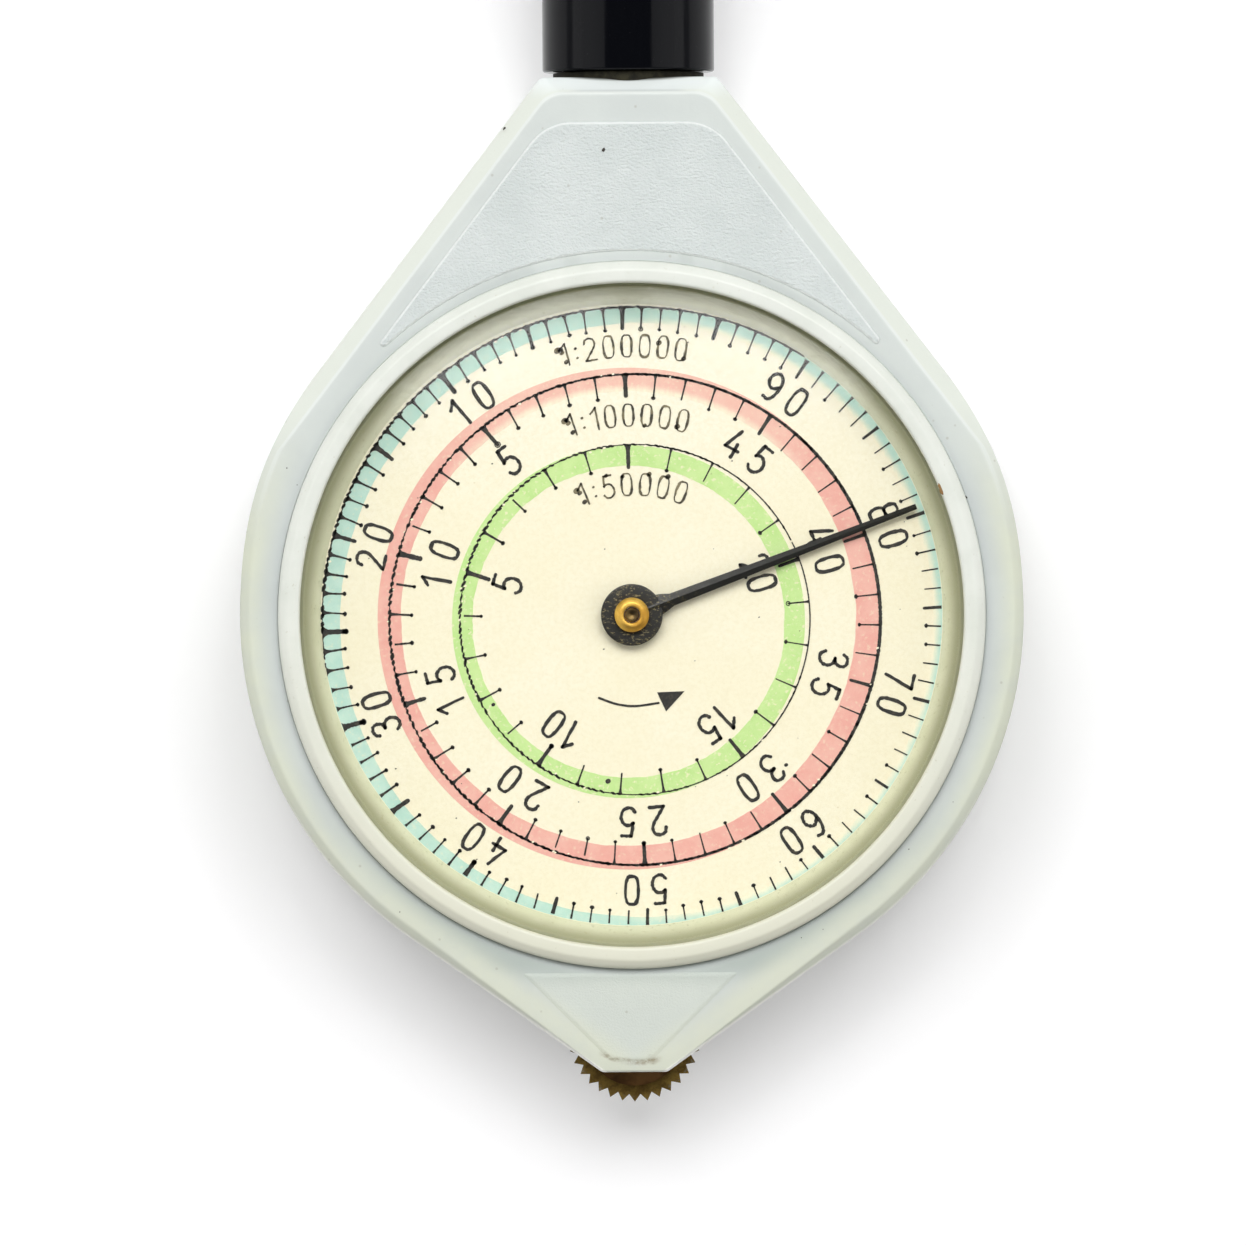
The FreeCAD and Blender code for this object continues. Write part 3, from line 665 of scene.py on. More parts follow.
def handle_plastic(name):
    """Glossy black plastic with faint dust and hairlines."""
    made = Look(name)
    dust = made.spread(made.noise(0.16, 2.0, 0.5), 0.7, 0.8, 0.0, 0.25)
    rough = made.spread(made.noise(0.3, 3.0, 0.5, (1.0, 0.12, 1.0)), 0.35, 0.75, 0.09, 0.15)
    return made.surface(made.blend(dust, (9, 10, 14), (70, 70, 72)), rough,
                        made.bump(made.noise(3.0, 2.0, 0.4), 0.008), Specular_IOR_Level=0.13)


def speck(name, one, other):
    """Bit of dirt."""
    made = Look(name)
    mottle = made.noise(0.12, 3.0, 0.6)
    return made.surface(made.blend(mottle, one, other), 0.7, made.bump(mottle, 0.01))


RECIPES = {                    # the maker of each look, and what it is given
    "case_plastic": (plastic, (196, 202, 199), (202, 208, 204), 0.22, 0.006),
    "pad_plastic": (plastic, (205, 212, 210), (213, 219, 217), 0.17, 0.19, (0.8, 1.25, 1.0), PAD_HEIGHT),
    "foot_plastic": (plastic, (203, 209, 201), (208, 214, 205), 0.13, 0.045),
    "well_plastic": (well_plastic,),
    "neck_plastic": (neck_plastic,),
    "bezel_plastic": (bezel_plastic,),
    "crystal_clear": (crystal_clear,),
    "dial_card": (dial_card,),
    "band_blue": (band_ink, (184, 223, 213), (200, 232, 222), 0.35, ("X", -3 * MM, 5 * MM, 0.0)),
    "band_pink": (band_ink, (239, 172, 162), (243, 188, 176), 0.35,
                  ("Y", AXIS_Y + 7 * MM, AXIS_Y + 13 * MM, 0.2)),
    "band_green": (band_ink, (192, 230, 146), (206, 236, 162), 0.7),
    "print_ink": (ink, 0.35, 0.45, 0.75, (26, 26, 26), (70, 64, 52)),
    "legend_ink": (ink, 0.5, 0.4, 0.68, (54, 50, 40), (132, 123, 96)),
    "hand_lacquer": (hand_lacquer,),
    "brass": (metal, (214, 176, 92), (188, 148, 70), 0.22, 0.4, (1.0, 6.0, 1.0)),
    "collet_brass": (metal, (240, 202, 104), (198, 150, 64), 0.4, 0.55),
    "steel": (metal, (172, 172, 170), (140, 140, 140), 0.2, 0.36, (6.0, 1.0, 1.0)),
    "arbor_steel": (metal, (128, 104, 60), (84, 70, 48), 0.3, 0.45),
    # Brass darker and redder than the wheel's: painted shade from the case edge over the boss and the cheek.
    "boss_bronze": (metal, (134, 98, 60), (96, 68, 42), 0.4, 0.6),
    "wheel_brass": (wheel_brass,),
    "handle_plastic": (handle_plastic,),
    "speck_dark": (speck, (30, 26, 22), (62, 52, 42)),
    "speck_brown": (speck, (120, 88, 48), (160, 124, 72)),
    "speck_yellow": (speck, (214, 206, 96), (226, 220, 132)),
}
LOOKS = {}


def look(name):
    """The material of that name, made when first asked for."""
    if name not in LOOKS:
        maker, *given = RECIPES[name]
        LOOKS[name] = maker(name, *given)
    return LOOKS[name]


def dress(node, name):
    """Gives a CAD node its material."""
    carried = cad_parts[node]
    carried.data.materials.clear()
    carried.data.materials.append(look(name))


# ---- case ----

TOP_CORNER = 0.55
FACE_CORNER = 1.9
PAD_CORNER = 3.1
PAD_TOP = 2.82
PAD_SIDE = 2.0
PAD_AROUND = 0.56
PAD_TIP = 0.24                 # radius of the pad's lower tips
FLANK_OUT = 0.3                # the upper flanks stand a little outside the circle's tangent
FOOT_CORNER = 0.5
FOOT_CHAMFER = 0.14
KNEE = 0.05
EDGE_DROP = 0.62               # share of the edge's height that is steep at the sides and the foot
DRAFT = 0.12
LOW_DRAFT = 0.05
CASE_SHARES = (-0.22, -0.1, -0.04, 0.02, 0.08, 0.16, 0.28, 0.42, 0.56, 0.7, 0.82, 0.9, 0.95, 0.99, 1.03,
               1.08, 1.14)
STRETCHES = {"top": 6, "corner": 8, "flank": 26, "side": 72, "slope": 20, "toe": 7, "foot": 4}


def meet(normal_a, distance_a, normal_b, distance_b):
    """Point where two lines cross, each given by its normal and its distance from the origin."""
    det = normal_a.x * normal_b.y - normal_a.y * normal_b.x
    return Vector(((distance_a * normal_b.y - distance_b * normal_a.y) / det,
                   (normal_a.x * distance_b - normal_b.x * distance_a) / det))


def fillet(normal_a, distance_a, normal_b, distance_b, radius, steps):
    """Points of the arc that rounds an outer corner of two lines."""
    centre = meet(normal_a, distance_a - radius, normal_b, distance_b - radius)
    start = math.atan2(normal_a.y, normal_a.x)
    end = math.atan2(normal_b.y, normal_b.x)
    return [centre + polar(radius, math.degrees(start + (end - start) * step / steps))
            for step in range(steps + 1)]


def between(start, end, steps):
    """Points on a straight line, without its ends."""
    return [start.lerp(end, step / steps) for step in range(1, steps)]


def case_outline(top, shoulder, side, slope, foot, corner=TOP_CORNER):
    """Outline of the case, moved in by a distance at the top edge, the shoulders, the round sides, the
    lower flanks and the foot. The same number of points each time."""
    upper = 90 - SHOULDER_ANGLE
    lower = FOOT_ANGLE - 90
    shoulder_normal = polar(1, upper)
    slope_normal = polar(1, lower)
    radius = BODY_RADIUS - side
    upper -= math.degrees(math.acos(min(1, (BODY_RADIUS - shoulder) / radius)))
    lower += math.degrees(math.acos(min(1, (BODY_RADIUS - slope) / radius)))
    head = fillet(Vector((0, 1)), SHOULDER_TOP - top, shoulder_normal, BODY_RADIUS + FLANK_OUT - shoulder,
                  corner, STRETCHES["corner"])
    toe = fillet(slope_normal, BODY_RADIUS - slope, Vector((0, -1)), FOOT_LOW - foot, FOOT_CORNER,
                 STRETCHES["toe"])
    count = STRETCHES["side"]
    arc = []
    for step in range(count + 1):
        angle = upper + (lower - upper) * step / count
        rise = max(0.0, angle) / upper
        arc.append(polar(radius + FLANK_OUT * rise * rise * (3 - 2 * rise), angle))
    half = between(Vector((0, head[0].y)), head[0], STRETCHES["top"]) + head
    half += between(head[-1], arc[0], STRETCHES["flank"]) + arc
    half += between(arc[-1], toe[0], STRETCHES["slope"]) + toe
    half += between(toe[-1], Vector((0, toe[-1].y)), STRETCHES["foot"])
    other = [Vector((-point.x, point.y)) for point in reversed(half)]
    return [Vector((0, head[0].y))] + half + [Vector((0, toe[-1].y))] + other


def soft_step(share):
    """Share, with a soft knee at 0."""
    return (share + math.sqrt(share * share + KNEE * KNEE)) / 2


def edge_level(share):
    """Outline and height of the case edge at a share of its height."""
    case = bpy.context.scene.measurer_case
    flat = soft_step(share)
    held = min(max(share, 0.0), 1.0)
    rounded = soft_step((share - EDGE_DROP) / (1 - EDGE_DROP)) + 0.05 * held
    corner = TOP_CORNER + (FACE_CORNER - TOP_CORNER) * held
    outline = case_outline(DRAFT + (case.top_chamfer - DRAFT) * flat,
                           DRAFT + (case.shoulder_chamfer - DRAFT) * flat,
                           DRAFT + (case.side_rounding - DRAFT) * rounded,
                           LOW_DRAFT + (case.foot_slope - LOW_DRAFT) * rounded,
                           LOW_DRAFT + (FOOT_CHAMFER - LOW_DRAFT) * rounded, corner)
    return outline, CASE_DEPTH - case.edge_height * soft_step(1 - share)


def on_circle(outline, radius):
    """Points of a circle in the directions of an outline's points."""
    return [point.normalized() * radius for point in outline]


def at_height(outline, height):
    return [(point.x, point.y, height) for point in outline]


def case_half(side):
    """Moulded half of the case, with the well of the window, the pocket of the dial and half of the neck."""
    parting = 0.09             # bevel at the joint plane
    groove_edge = 0.03
    pocket = DIAL_RADIUS + DIAL_GAP
    shell = Mesh()
    outer = case_outline(*[0] * 5)
    inner = case_outline(*[WALL] * 5)
    loops = [(at_height(case_outline(*[parting] * 5), 0.0), 0), (at_height(outer, parting), 0),
             (at_height(case_outline(*[LOW_DRAFT] * 5), 1.6), 0)]
    for share in CASE_SHARES:
        loops.append((at_height(*edge_level(share)), 0))
    last = loops[-1][0]
    face_edge = on_circle(outer, GROOVE_RADIUS + groove_edge)
    for share in (0.15, 0.5, 0.85):
        loops.append(([(x + (point.x - x) * share, y + (point.y - y) * share, z + (CASE_DEPTH - z) * share)
                       for (x, y, z), point in zip(last, face_edge)], 0))
    rings = [(GROOVE_RADIUS + groove_edge, CASE_DEPTH, 0), (GROOVE_RADIUS + 0.01, CASE_DEPTH - 0.01, 0),
             (GROOVE_RADIUS, CASE_DEPTH - groove_edge, 0), (GROOVE_RADIUS - 0.005, CASE_DEPTH - 0.045, 0),
             (BEZEL_OUTER + 0.012, CASE_DEPTH - 0.055, 0), (BEZEL_OUTER + 0.01, CRYSTAL_SEAT, 0),
             (WELL_RADIUS + 0.06, CRYSTAL_SEAT, 1), (WELL_RADIUS, CRYSTAL_SEAT - 0.06, 1),
             (WINDOW_RADIUS + 0.05, DIAL_FACE + 0.07, 1), (WINDOW_RADIUS, DIAL_FACE, 1),
             (pocket, DIAL_FACE, 0), (pocket, DIAL_BACK, 0)]
    loops += [(at_height(on_circle(outer, radius), height), number) for radius, height, number in rings]
    loops += [(at_height(inner, DIAL_BACK), 0), (at_height(inner, 0.0), 0)]
    numbered = [(shell.loop(points), number) for points, number in loops]
    for (low, _), (high, number) in zip(numbered, numbered[1:]):
        shell.bridge(low, high, number)
    shell.bridge(numbered[-1][0], numbered[0][0])
    cut_slot(shell)
    add_neck(shell)
    made = shell.piece("{}_case", side, "case",
                       ["case_plastic", "well_plastic", "neck_plastic"], ["{}_shell"])
    made.modifiers.new("normals", "WEIGHTED_NORMAL").keep_sharp = True


def cut_slot(shell):
    """Cuts the round slot for the measuring wheel out of the foot."""
    slot_radius = WHEEL_RADIUS + 0.4
    slot_half = 0.8
    slot_start = -1.0          # below the joint plane, so that the cut is open there
    block = Mesh()
    block.turned([(0, slot_start), (slot_radius, slot_start), (slot_radius, slot_half), (0, slot_half)], 96,
                 WHEEL_Y, joined=False)
    stand_ins = [bpy.data.materials.new(name) for name in ("cut_one", "cut_two")]
    objects = []
    for gathered in (shell, block):
        mesh = gathered.data("cutting", gathered.points)
        for material in stand_ins:
            mesh.materials.append(material)
        objects.append(add_object("cutting", mesh))
    cutting = objects[0].modifiers.new("slot", "BOOLEAN")
    cutting.object = objects[1]
    cutting.operation = "DIFFERENCE"
    cutting.solver = "EXACT"
    bpy.context.view_layer.update()
    result = objects[0].evaluated_get(bpy.context.evaluated_depsgraph_get()).to_mesh()
    shell.points = [tuple(vertex.co) for vertex in result.vertices]
    shell.faces = [tuple(polygon.vertices) for polygon in result.polygons]
    shell.looks = [min(polygon.material_index, 1) for polygon in result.polygons]
    for made in objects:
        mesh = made.data
        bpy.data.objects.remove(made)
        bpy.data.meshes.remove(mesh)
    for material in stand_ins:
        bpy.data.materials.remove(material)


def add_neck(shell):
    """Half of the hollow neck under the handle, closed at the joint plane."""
    start = SHOULDER_TOP - WALL / 2
    end = SHOULDER_TOP + NECK_LENGTH
    collar = HANDLE_START - 0.06
    profile = softened([(COLLAR_RADIUS, start), (COLLAR_RADIUS, collar), (NECK_RADIUS, collar),
                        (NECK_RADIUS, end), (NECK_BORE, end), (NECK_BORE, start)], 0.05)
    steps = 48
    neck_look = 2
    loops = []
    for radius, height in profile:
        loops.append(shell.loop([(radius * math.cos(math.pi * step / steps), height,
                                  radius * math.sin(math.pi * step / steps)) for step in range(steps + 1)]))
    shell.skin(loops, neck_look, joined=True, closed=False)
    shell.face([loop[0] for loop in loops], neck_look)
    shell.face([loop[-1] for loop in reversed(loops)], neck_look)


def raised(name, side, outline_at, height, edge, plain):
    """Raised pad with a rounded edge, let a little into the case face. outline_at gives its outline, moved
    in by a distance, and plain names its look."""
    let_in = 0.005
    pad = Mesh()
    loops = [pad.loop(at_height(outline_at(0.0), CASE_DEPTH - 0.03))]
    for share in (0.0, 0.1, 0.25, 0.45, 0.7, 1.0):
        level = CASE_DEPTH - let_in + (height + let_in) * math.sin(math.pi / 2 * share)
        loops.append(pad.loop(at_height(outline_at(edge * share), level)))
    pad.skin(loops, capped=True)
    made = pad.piece(name, side, "case", [plain], sharp=70.0)
    made.modifiers.new("normals", "WEIGHTED_NORMAL").keep_sharp = True


def shoulder_outline(distance):
    """Outline of the field between the bezel and the handle, moved in by a distance."""
    normal = polar(1, 90 - SHOULDER_ANGLE)
    along = Vector((-normal.y, normal.x))
    circle = GROOVE_RADIUS + PAD_AROUND
    flank = BODY_RADIUS + FLANK_OUT - PAD_SIDE
    head = fillet(Vector((0, 1)), SHOULDER_TOP - PAD_TOP - distance, normal, flank - distance,
                  PAD_CORNER - distance, 10)
    centre = normal * (flank - PAD_TIP) + along * math.sqrt((circle + PAD_TIP) ** 2 - (flank - PAD_TIP) ** 2)
    end = math.degrees(math.atan2(centre.y, centre.x))
    turns = [end - 180 + (90 - SHOULDER_ANGLE - end + 180) * step / 10 for step in range(11)]
    tip = [centre + polar(PAD_TIP - distance, turn) for turn in turns]
    half = tip + between(tip[-1], head[-1], 20) + list(reversed(head))
    half += between(head[0], Vector((0, head[0].y)), 6)
    left = [Vector((-point.x, point.y)) for point in reversed(half)]
    steps = 64
    arc = [polar(circle + distance, 180 - end + (2 * end - 180) * step / steps) for step in range(1, steps)]
    return half + [Vector((0, head[0].y))] + left + arc


def shoulder_pad(side):
    """Raised field between the bezel and the handle."""
    raised("{}_shoulder_pad", side, shoulder_outline, PAD_HEIGHT, 0.2, "pad_plastic")


def foot_outline(distance):
    """Outline of the triangle above the foot, cut off at its lower end, moved in by a distance."""
    corner_cut = 0.25
    half = 6.45 - distance * math.sqrt(2)
    y_top = -GROOVE_RADIUS - 0.2
    y_end = 0.7 - FOOT_LOW
    high, low = y_top - distance, y_end + distance
    high_half = half - distance
    low_half = half - (y_top - low)
    corners = [Vector((FOOT_PAD_X + x, y)) for x, y in
               ((-high_half, high), (-low_half, low), (low_half, low), (high_half, high))]
    out = []
    for index, corner in enumerate(corners):
        start = corner + (corners[index - 1] - corner).normalized() * corner_cut
        end = corner + (corners[(index + 1) % 4] - corner).normalized() * corner_cut
        out += [start * (1 - t) ** 2 + corner * 2 * t * (1 - t) + end * t * t
                for t in (0, 0.25, 0.5, 0.75, 1)]
    return out


def foot_pad(side):
    """Raised triangle above the foot."""
    raised("{}_foot_pad", side, foot_outline, FOOT_PAD_HEIGHT, 0.3, "foot_plastic")


# ---- bezel, crystal, handle ----

def bezel(side):
    """Ring with a lip over the crystal's rim and a softly crowned top."""
    inner = CRYSTAL_RADIUS - BEZEL_LIP
    leg = CRYSTAL_RADIUS + LEG_GAP
    lip = CRYSTAL_SEAT + CRYSTAL_EDGE
    profile = [(inner, lip), (inner, BEZEL_TOP - 0.14), (inner + 0.12, BEZEL_TOP - 0.01),
               (BEZEL_OUTER - 0.5, BEZEL_TOP), (BEZEL_OUTER - 0.14, BEZEL_TOP - 0.26),
               (BEZEL_OUTER, BEZEL_TOP - 0.45), (BEZEL_OUTER, CRYSTAL_SEAT), (leg, CRYSTAL_SEAT), (leg, lip)]
    ring = Mesh()
    ring.turned(softened(profile, 0.12), 288)
    made = ring.piece("{}_bezel_ring", side, "case", ["bezel_plastic"], ["{}_bezel"],
                      sharp=60.0)
    made.modifiers.new("normals", "WEIGHTED_NORMAL")


def dome(radius, low, high, bands):
    """Profile of a shallow dome from its edge to its middle."""
    rise = high - low
    bow = (radius * radius + rise * rise) / (2 * rise)
    reaches = [radius * math.cos(math.pi / 2 * band / bands) for band in range(bands)]
    return [(reach, high - bow + math.sqrt(bow * bow - reach * reach)) for reach in reaches] + [(0.0, high)]


def crystal(side):
    """Domed window, thicker at its flat rim."""
    clear = CRYSTAL_RADIUS - BEZEL_LIP - LEG_GAP
    lip = CRYSTAL_SEAT + CRYSTAL_EDGE
    apex = BEZEL_TOP - CRYSTAL_BELOW
    bevel = CRYSTAL_RADIUS - 0.05
    floor = CRYSTAL_SEAT + 0.03
    bands, steps = 22, 256
    rim = [(CRYSTAL_RADIUS, CRYSTAL_SEAT + 0.05), (CRYSTAL_RADIUS, lip - 0.02), (bevel, lip)]
    glass = Mesh()
    outer_loops = glass.turned(rim + dome(clear, lip, apex, bands), steps, joined=False)
    inside = dome(clear - 0.3, floor, apex - CRYSTAL_EDGE, bands)
    inner_loops = glass.turned([(bevel, floor)] + inside, steps, joined=False)
    glass.bridge(inner_loops[0], outer_loops[0])
    glass.piece("{}_crystal_dome", side, "case", ["crystal_clear"], ["{}_crystal"], sharp=40.0)


def handle_grip():
    """Round handle with a chamfered mouth and a domed end."""
    socket_end = SHOULDER_TOP + NECK_LENGTH + HANDLE_GAP
    core_end = HANDLE_END - HANDLE_END_WALL
    mouth = 0.1
    outside = softened([(HANDLE_BORE, HANDLE_START), (HANDLE_RADIUS - mouth, HANDLE_START),
                        (HANDLE_RADIUS, HANDLE_START + mouth), (HANDLE_RADIUS, HANDLE_END - HANDLE_DOME)],
                       0.06, closed=False)
    steps = 10
    corner = [(HANDLE_RADIUS - HANDLE_DOME * (1 - math.cos(math.pi / 2 * step / steps)),
               HANDLE_END - HANDLE_DOME * (1 - math.sin(math.pi / 2 * step / steps)))
              for step in range(1, steps + 1)]
    inside = [(0.0, HANDLE_END), (0.0, core_end), (HANDLE_CORE, core_end), (HANDLE_CORE, socket_end),
              (HANDLE_BORE, socket_end)]
    grip = Mesh()
    profile = [tuple(point) for point in outside] + corner
    outer_loops = grip.turned(profile + inside[:1], 192, joined=False, along_y=True)
    inner_loops = grip.turned(inside[1:], 192, joined=False, along_y=True)
    grip.bridge(inner_loops[-1], outer_loops[0])
    grip.piece("handle_grip", 1, "case", ["handle_plastic"], ["handle"], sharp=40.0)


# ---- dial print ----

PRINT_X = 0.18                 # the print's centre beside the window's
PRINT_Y = -0.28
BANDS = {                      # centre, inner and outer radius of each colour band
    "band_blue": ((0.3, -0.3), 17.67, 19.0),
    "band_pink": ((-0.2, -0.22), 13.53, 14.93),
    "band_green": ((-0.2, -0.41), 9.28, 10.5),
}
BAND_WAVE = 0.02               # how far a band's inner edge wanders from one step to the next
FADE_WIDTH = 0.5
RINGS = {"outer": 18.61, "middle": 14.61, "inner": 10.42}
TICK = 1.35
BAND_LOW = 0.002               # layers of the print over the card
BAND_HIGH = 0.012
INK_LOW = 0.004
FLECK_RISE = 0.004             # how far the bare specks stand over the ink
FIGURE_HEIGHT = 1.67
FIGURE_STROKE = 0.2
RATIO_HEIGHT = 1.31
RATIO_STROKE = 0.115
RATIOS = (                     # text, radius at its foot, and the angles between which it stands
    ("1:200000", 15.64, 15.2, -11.1),
    ("1:100000", 11.52, 18.7, -15.3),
    ("1:50000", 7.4, 23.6, -22.4),
)
GLYPHS = {
    "0": (0.46, [("loop", (0.23, 0.5), 0.23, 0.5)]),
    "1": (0.26, [("line", (0.0, 0.76), (0.26, 1.0)), ("line", (0.26, 1.0), (0.26, 0.0))]),
    "2": (0.48, [("curve", (0.0, 0.76), (0.05, 0.93), (0.22, 1.0), (0.4, 0.94), (0.47, 0.76), (0.4, 0.55),
                  (0.2, 0.27), (0.0, 0.0)), ("line", (0.0, 0.0), (0.5, 0.0))]),
    "3": (0.48, [("curve", (0.02, 0.84), (0.1, 0.97), (0.26, 1.0), (0.41, 0.93), (0.44, 0.76), (0.36, 0.6),
                  (0.2, 0.55)), ("curve", (0.2, 0.55), (0.38, 0.5), (0.48, 0.33), (0.44, 0.12), (0.28, 0.0),
                                 (0.1, 0.02), (0.0, 0.16))]),
    "4": (0.52, [("line", (0.3, 1.0), (0.0, 0.28)), ("line", (0.0, 0.28), (0.52, 0.28)),
                 ("line", (0.38, 0.5), (0.38, 0.0))]),
    "5": (0.48, [("line", (0.44, 1.0), (0.1, 1.0)), ("line", (0.1, 1.0), (0.05, 0.54)),
                 ("curve", (0.05, 0.54), (0.18, 0.62), (0.36, 0.58), (0.48, 0.38), (0.44, 0.13), (0.27, 0.0),
                  (0.1, 0.02), (0.0, 0.14))]),
    "6": (0.48, [("curve", (0.4, 0.95), (0.22, 0.98), (0.07, 0.8), (0.0, 0.45), (0.04, 0.15), (0.2, 0.0),
                  (0.38, 0.06), (0.48, 0.28), (0.4, 0.5), (0.22, 0.57), (0.04, 0.42))]),
    "7": (0.48, [("line", (0.0, 1.0), (0.48, 1.0)), ("line", (0.48, 1.0), (0.16, 0.0))]),
    "8": (0.48, [("loop", (0.24, 0.77), 0.19, 0.23), ("loop", (0.24, 0.27), 0.24, 0.27)]),
    "9": (0.48, [("curve", (0.08, 0.05), (0.26, 0.02), (0.41, 0.2), (0.48, 0.55), (0.44, 0.85), (0.28, 1.0),
                  (0.1, 0.94), (0.0, 0.72), (0.08, 0.5), (0.26, 0.43), (0.44, 0.58))]),
    ":": (0.1, [("dot", (0.05, 0.22)), ("dot", (0.05, 0.66))]),
}


def smooth_curve(points):
    """Points of a smooth line through some points."""
    steps = 5
    points = [Vector(point) for point in points]
    padded = [points[0] * 2 - points[1]] + points + [points[-1] * 2 - points[-2]]
    out = []
    for a, b, c, d in zip(padded, padded[1:], padded[2:], padded[3:]):
        for step in range(steps):
            t = step / steps
            out.append(0.5 * (2 * b + (c - a) * t + (2 * a - 5 * b + 4 * c - d) * t * t
                              + (3 * b - a - 3 * c + d) * t ** 3))
    return out + [points[-1]]


def stadium(centre, half_width, half_height):
    """Closed rounded loop, nearly straight at its sides, as in drafting figures."""
    steps = 28
    out = []
    for step in range(steps):
        angle = 2 * math.pi * step / steps
        c, s = math.cos(angle), math.sin(angle)
        out.append(Vector((centre[0] + half_width * math.copysign(abs(c) ** 0.62, c),
                           centre[1] + half_height * math.copysign(abs(s) ** 0.8, s))))
    return out


class DialPrint:
    """Ink and colour of one dial. sense is 1 where the values grow anticlockwise, and -1 where clockwise."""

    def __init__(self, side, seed):
        self.side = side
        self.sense = 1 if side > 0 else -1
        self.dice = random.Random(seed)
        self.centre = Vector((self.sense * PRINT_X, PRINT_Y))
        settings = bpy.context.scene.measurer_dial
        self.turn = math.degrees(settings.turn)
        self.rough = settings.roughness
        self.low = DIAL_FACE + INK_LOW
        self.high = DIAL_FACE + settings.ink_height
        self.limit = WINDOW_RADIUS - 0.03

    def spot(self, radius, degrees):
        """Point at a radius and an angle of the print, anticlockwise from the line to the handle."""
        return self.centre + polar(radius, 90 + self.sense * degrees)

    def dab(self, ink, spot, along, size, above=0.0):
        """Short round-ended stroke from a spot."""
        ink.stroke([spot, spot + Vector(along)], size, self.low, self.high + above)

    def clotting(self, degrees):
        """How rough the ink is: 1 on the left of the front dial, little on its right."""
        leftward = 0.5 + 0.5 * math.sin(math.radians(degrees))
        return (0.28 + 0.72 * leftward) * self.rough

    def ring(self, ink, radius, width, heavy):
        """Ink circle: a thin line, with slanting dashes along it like a twisted thread where it is clotted.
        heavy is how much bolder it is on the right of the front dial."""
        steps = int(radius * 90)
        line, widths = [], []
        for step in range(steps + 1):
            degrees = 360 * step / steps
            clot = self.clotting(degrees)
            wobble = self.dice.uniform(-0.014, 0.014) * clot
            point = self.spot(radius + wobble, degrees)
            if point.length > self.limit:
                if len(line) > 2:
                    ink.ribbon(line, widths, self.low, self.high)
                line, widths = [], []
                continue
            line.append(point)
            bold = 0.72 - 0.34 * clot + heavy * (0.5 - 0.5 * math.sin(math.radians(degrees)))
            uneven = 0.3 * max(clot, heavy)
            widths.append(width * bold * self.dice.uniform(1 - uneven, 1 + uneven))
        if len(line) > 2:
            ink.ribbon(line, widths, self.low, self.high)
        degrees = 0.0
        while degrees < 360:
            clot = self.clotting(degrees)
            degrees += math.degrees(self.dice.uniform(0.3, 0.52) / radius)
            if clot < 0.3 or self.dice.random() > 0.4 + 0.6 * clot:
                continue
            half = math.degrees(self.dice.uniform(0.1, 0.2) / radius)
            slant = self.dice.uniform(0.03, 0.09) * clot
            dash = [self.spot(radius + slant * share, degrees + half * share)
                    for share in (-1, -0.4, 0.3, 1)]
            if max(point.length for point in dash) > self.limit:
                continue
            thick = width * self.dice.uniform(0.85, 1.5) * (0.45 + 0.55 * clot)
            ink.stroke(dash, [thick * 0.5, thick, thick * 0.95, thick * 0.45], self.low, self.high)

    def tick(self, ink, radius, degrees, bold):
        """Tick inwards from its circle, flared where it leaves it and clotted at its end."""
        clot = self.clotting(degrees)
        width = (0.16 + 0.11 * clot if bold else 0.078 + 0.045 * clot) * self.dice.uniform(0.85, 1.15)
        length = TICK * self.dice.uniform(0.92, 1.04) * (1.0 if bold else 0.97)
        lean = self.dice.uniform(-0.3, 0.3) * clot
        loose = not bold and radius < RINGS["outer"] and self.dice.random() < 0.25 * clot
        line, widths = [], []
        steps = 16
        for step in range(3 if loose else 0, steps + 1):
            share = step / steps
            point = self.spot(radius - length * share, degrees + lean * share * share)
            if point.length > self.limit:
                continue
            web = (0.08 + 0.4 * clot) * (1.25 if bold else 1.0) * math.exp(-length * share / 0.13)
            web *= 0.0 if loose else 1.0 if radius > 16 else 0.55
            uneven = 1 + self.dice.uniform(-0.16, 0.16) * clot
            line.append(point)
            widths.append(width * uneven * (1 - 0.1 * share) + web)
        ink.stroke(line, widths, self.low, self.high, square_start=True)
        if self.dice.random() > (clot - 0.5 if bold else 1.15 * clot):
            return
        end = line[-1]
        size = self.dice.uniform(0.12, 0.18) * (1.3 if bold else 1.0)
        if self.dice.random() < 0.08:
            loop = [end + polar(size, 45 * step) * 0.8 for step in range(8)]
            ink.ribbon(loop, [0.06] * 8, self.low, self.high, closed=True)
        else:
            ink.stroke([line[-2], end], [width, size * 1.7], self.low, self.high)

    def scale(self, ink, name, count, numbers, low, span, thick, heavy=0.0):
        """One circle with its ticks and numbers."""
        radius = RINGS[name]
        self.ring(ink, radius, thick, heavy)
        for index in range(count):
            self.tick(ink, radius, 360 * index / count + self.turn, index % 5 == 0)
        for value, degrees in numbers:
            text = str(value)
            self.write(ink, text, low, FIGURE_HEIGHT, degrees, span * (1 if len(text) > 1 else 0.42),
                       FIGURE_STROKE)

    def write(self, ink, text, low, height, degrees, span, stroke, blots=0.0):
        """Figures standing on a circle with their tops outwards, spread over an angle."""
        middle = low + height / 2
        widths = [GLYPHS[letter][0] * height for letter in text]
        total = math.radians(span) * middle
        gap = (total - sum(widths)) / (len(text) - 1) if len(text) > 1 else 0.0
        offset = -total / 2 if len(text) > 1 else -widths[0] / 2
        for letter, width in zip(text, widths):
            across = (offset + width / 2) / middle
            angle = math.radians(90 + self.sense * degrees) - across
            outward = Vector((math.cos(angle), math.sin(angle)))
            rightward = Vector((outward.y, -outward.x))

            def place(point):
                wobble = Vector((self.dice.uniform(-1, 1), self.dice.uniform(-1, 1))) * 0.012 * self.rough
                x = point[0] * height - width / 2
                return self.centre + outward * (low + point[1] * height) + rightward * x + wobble

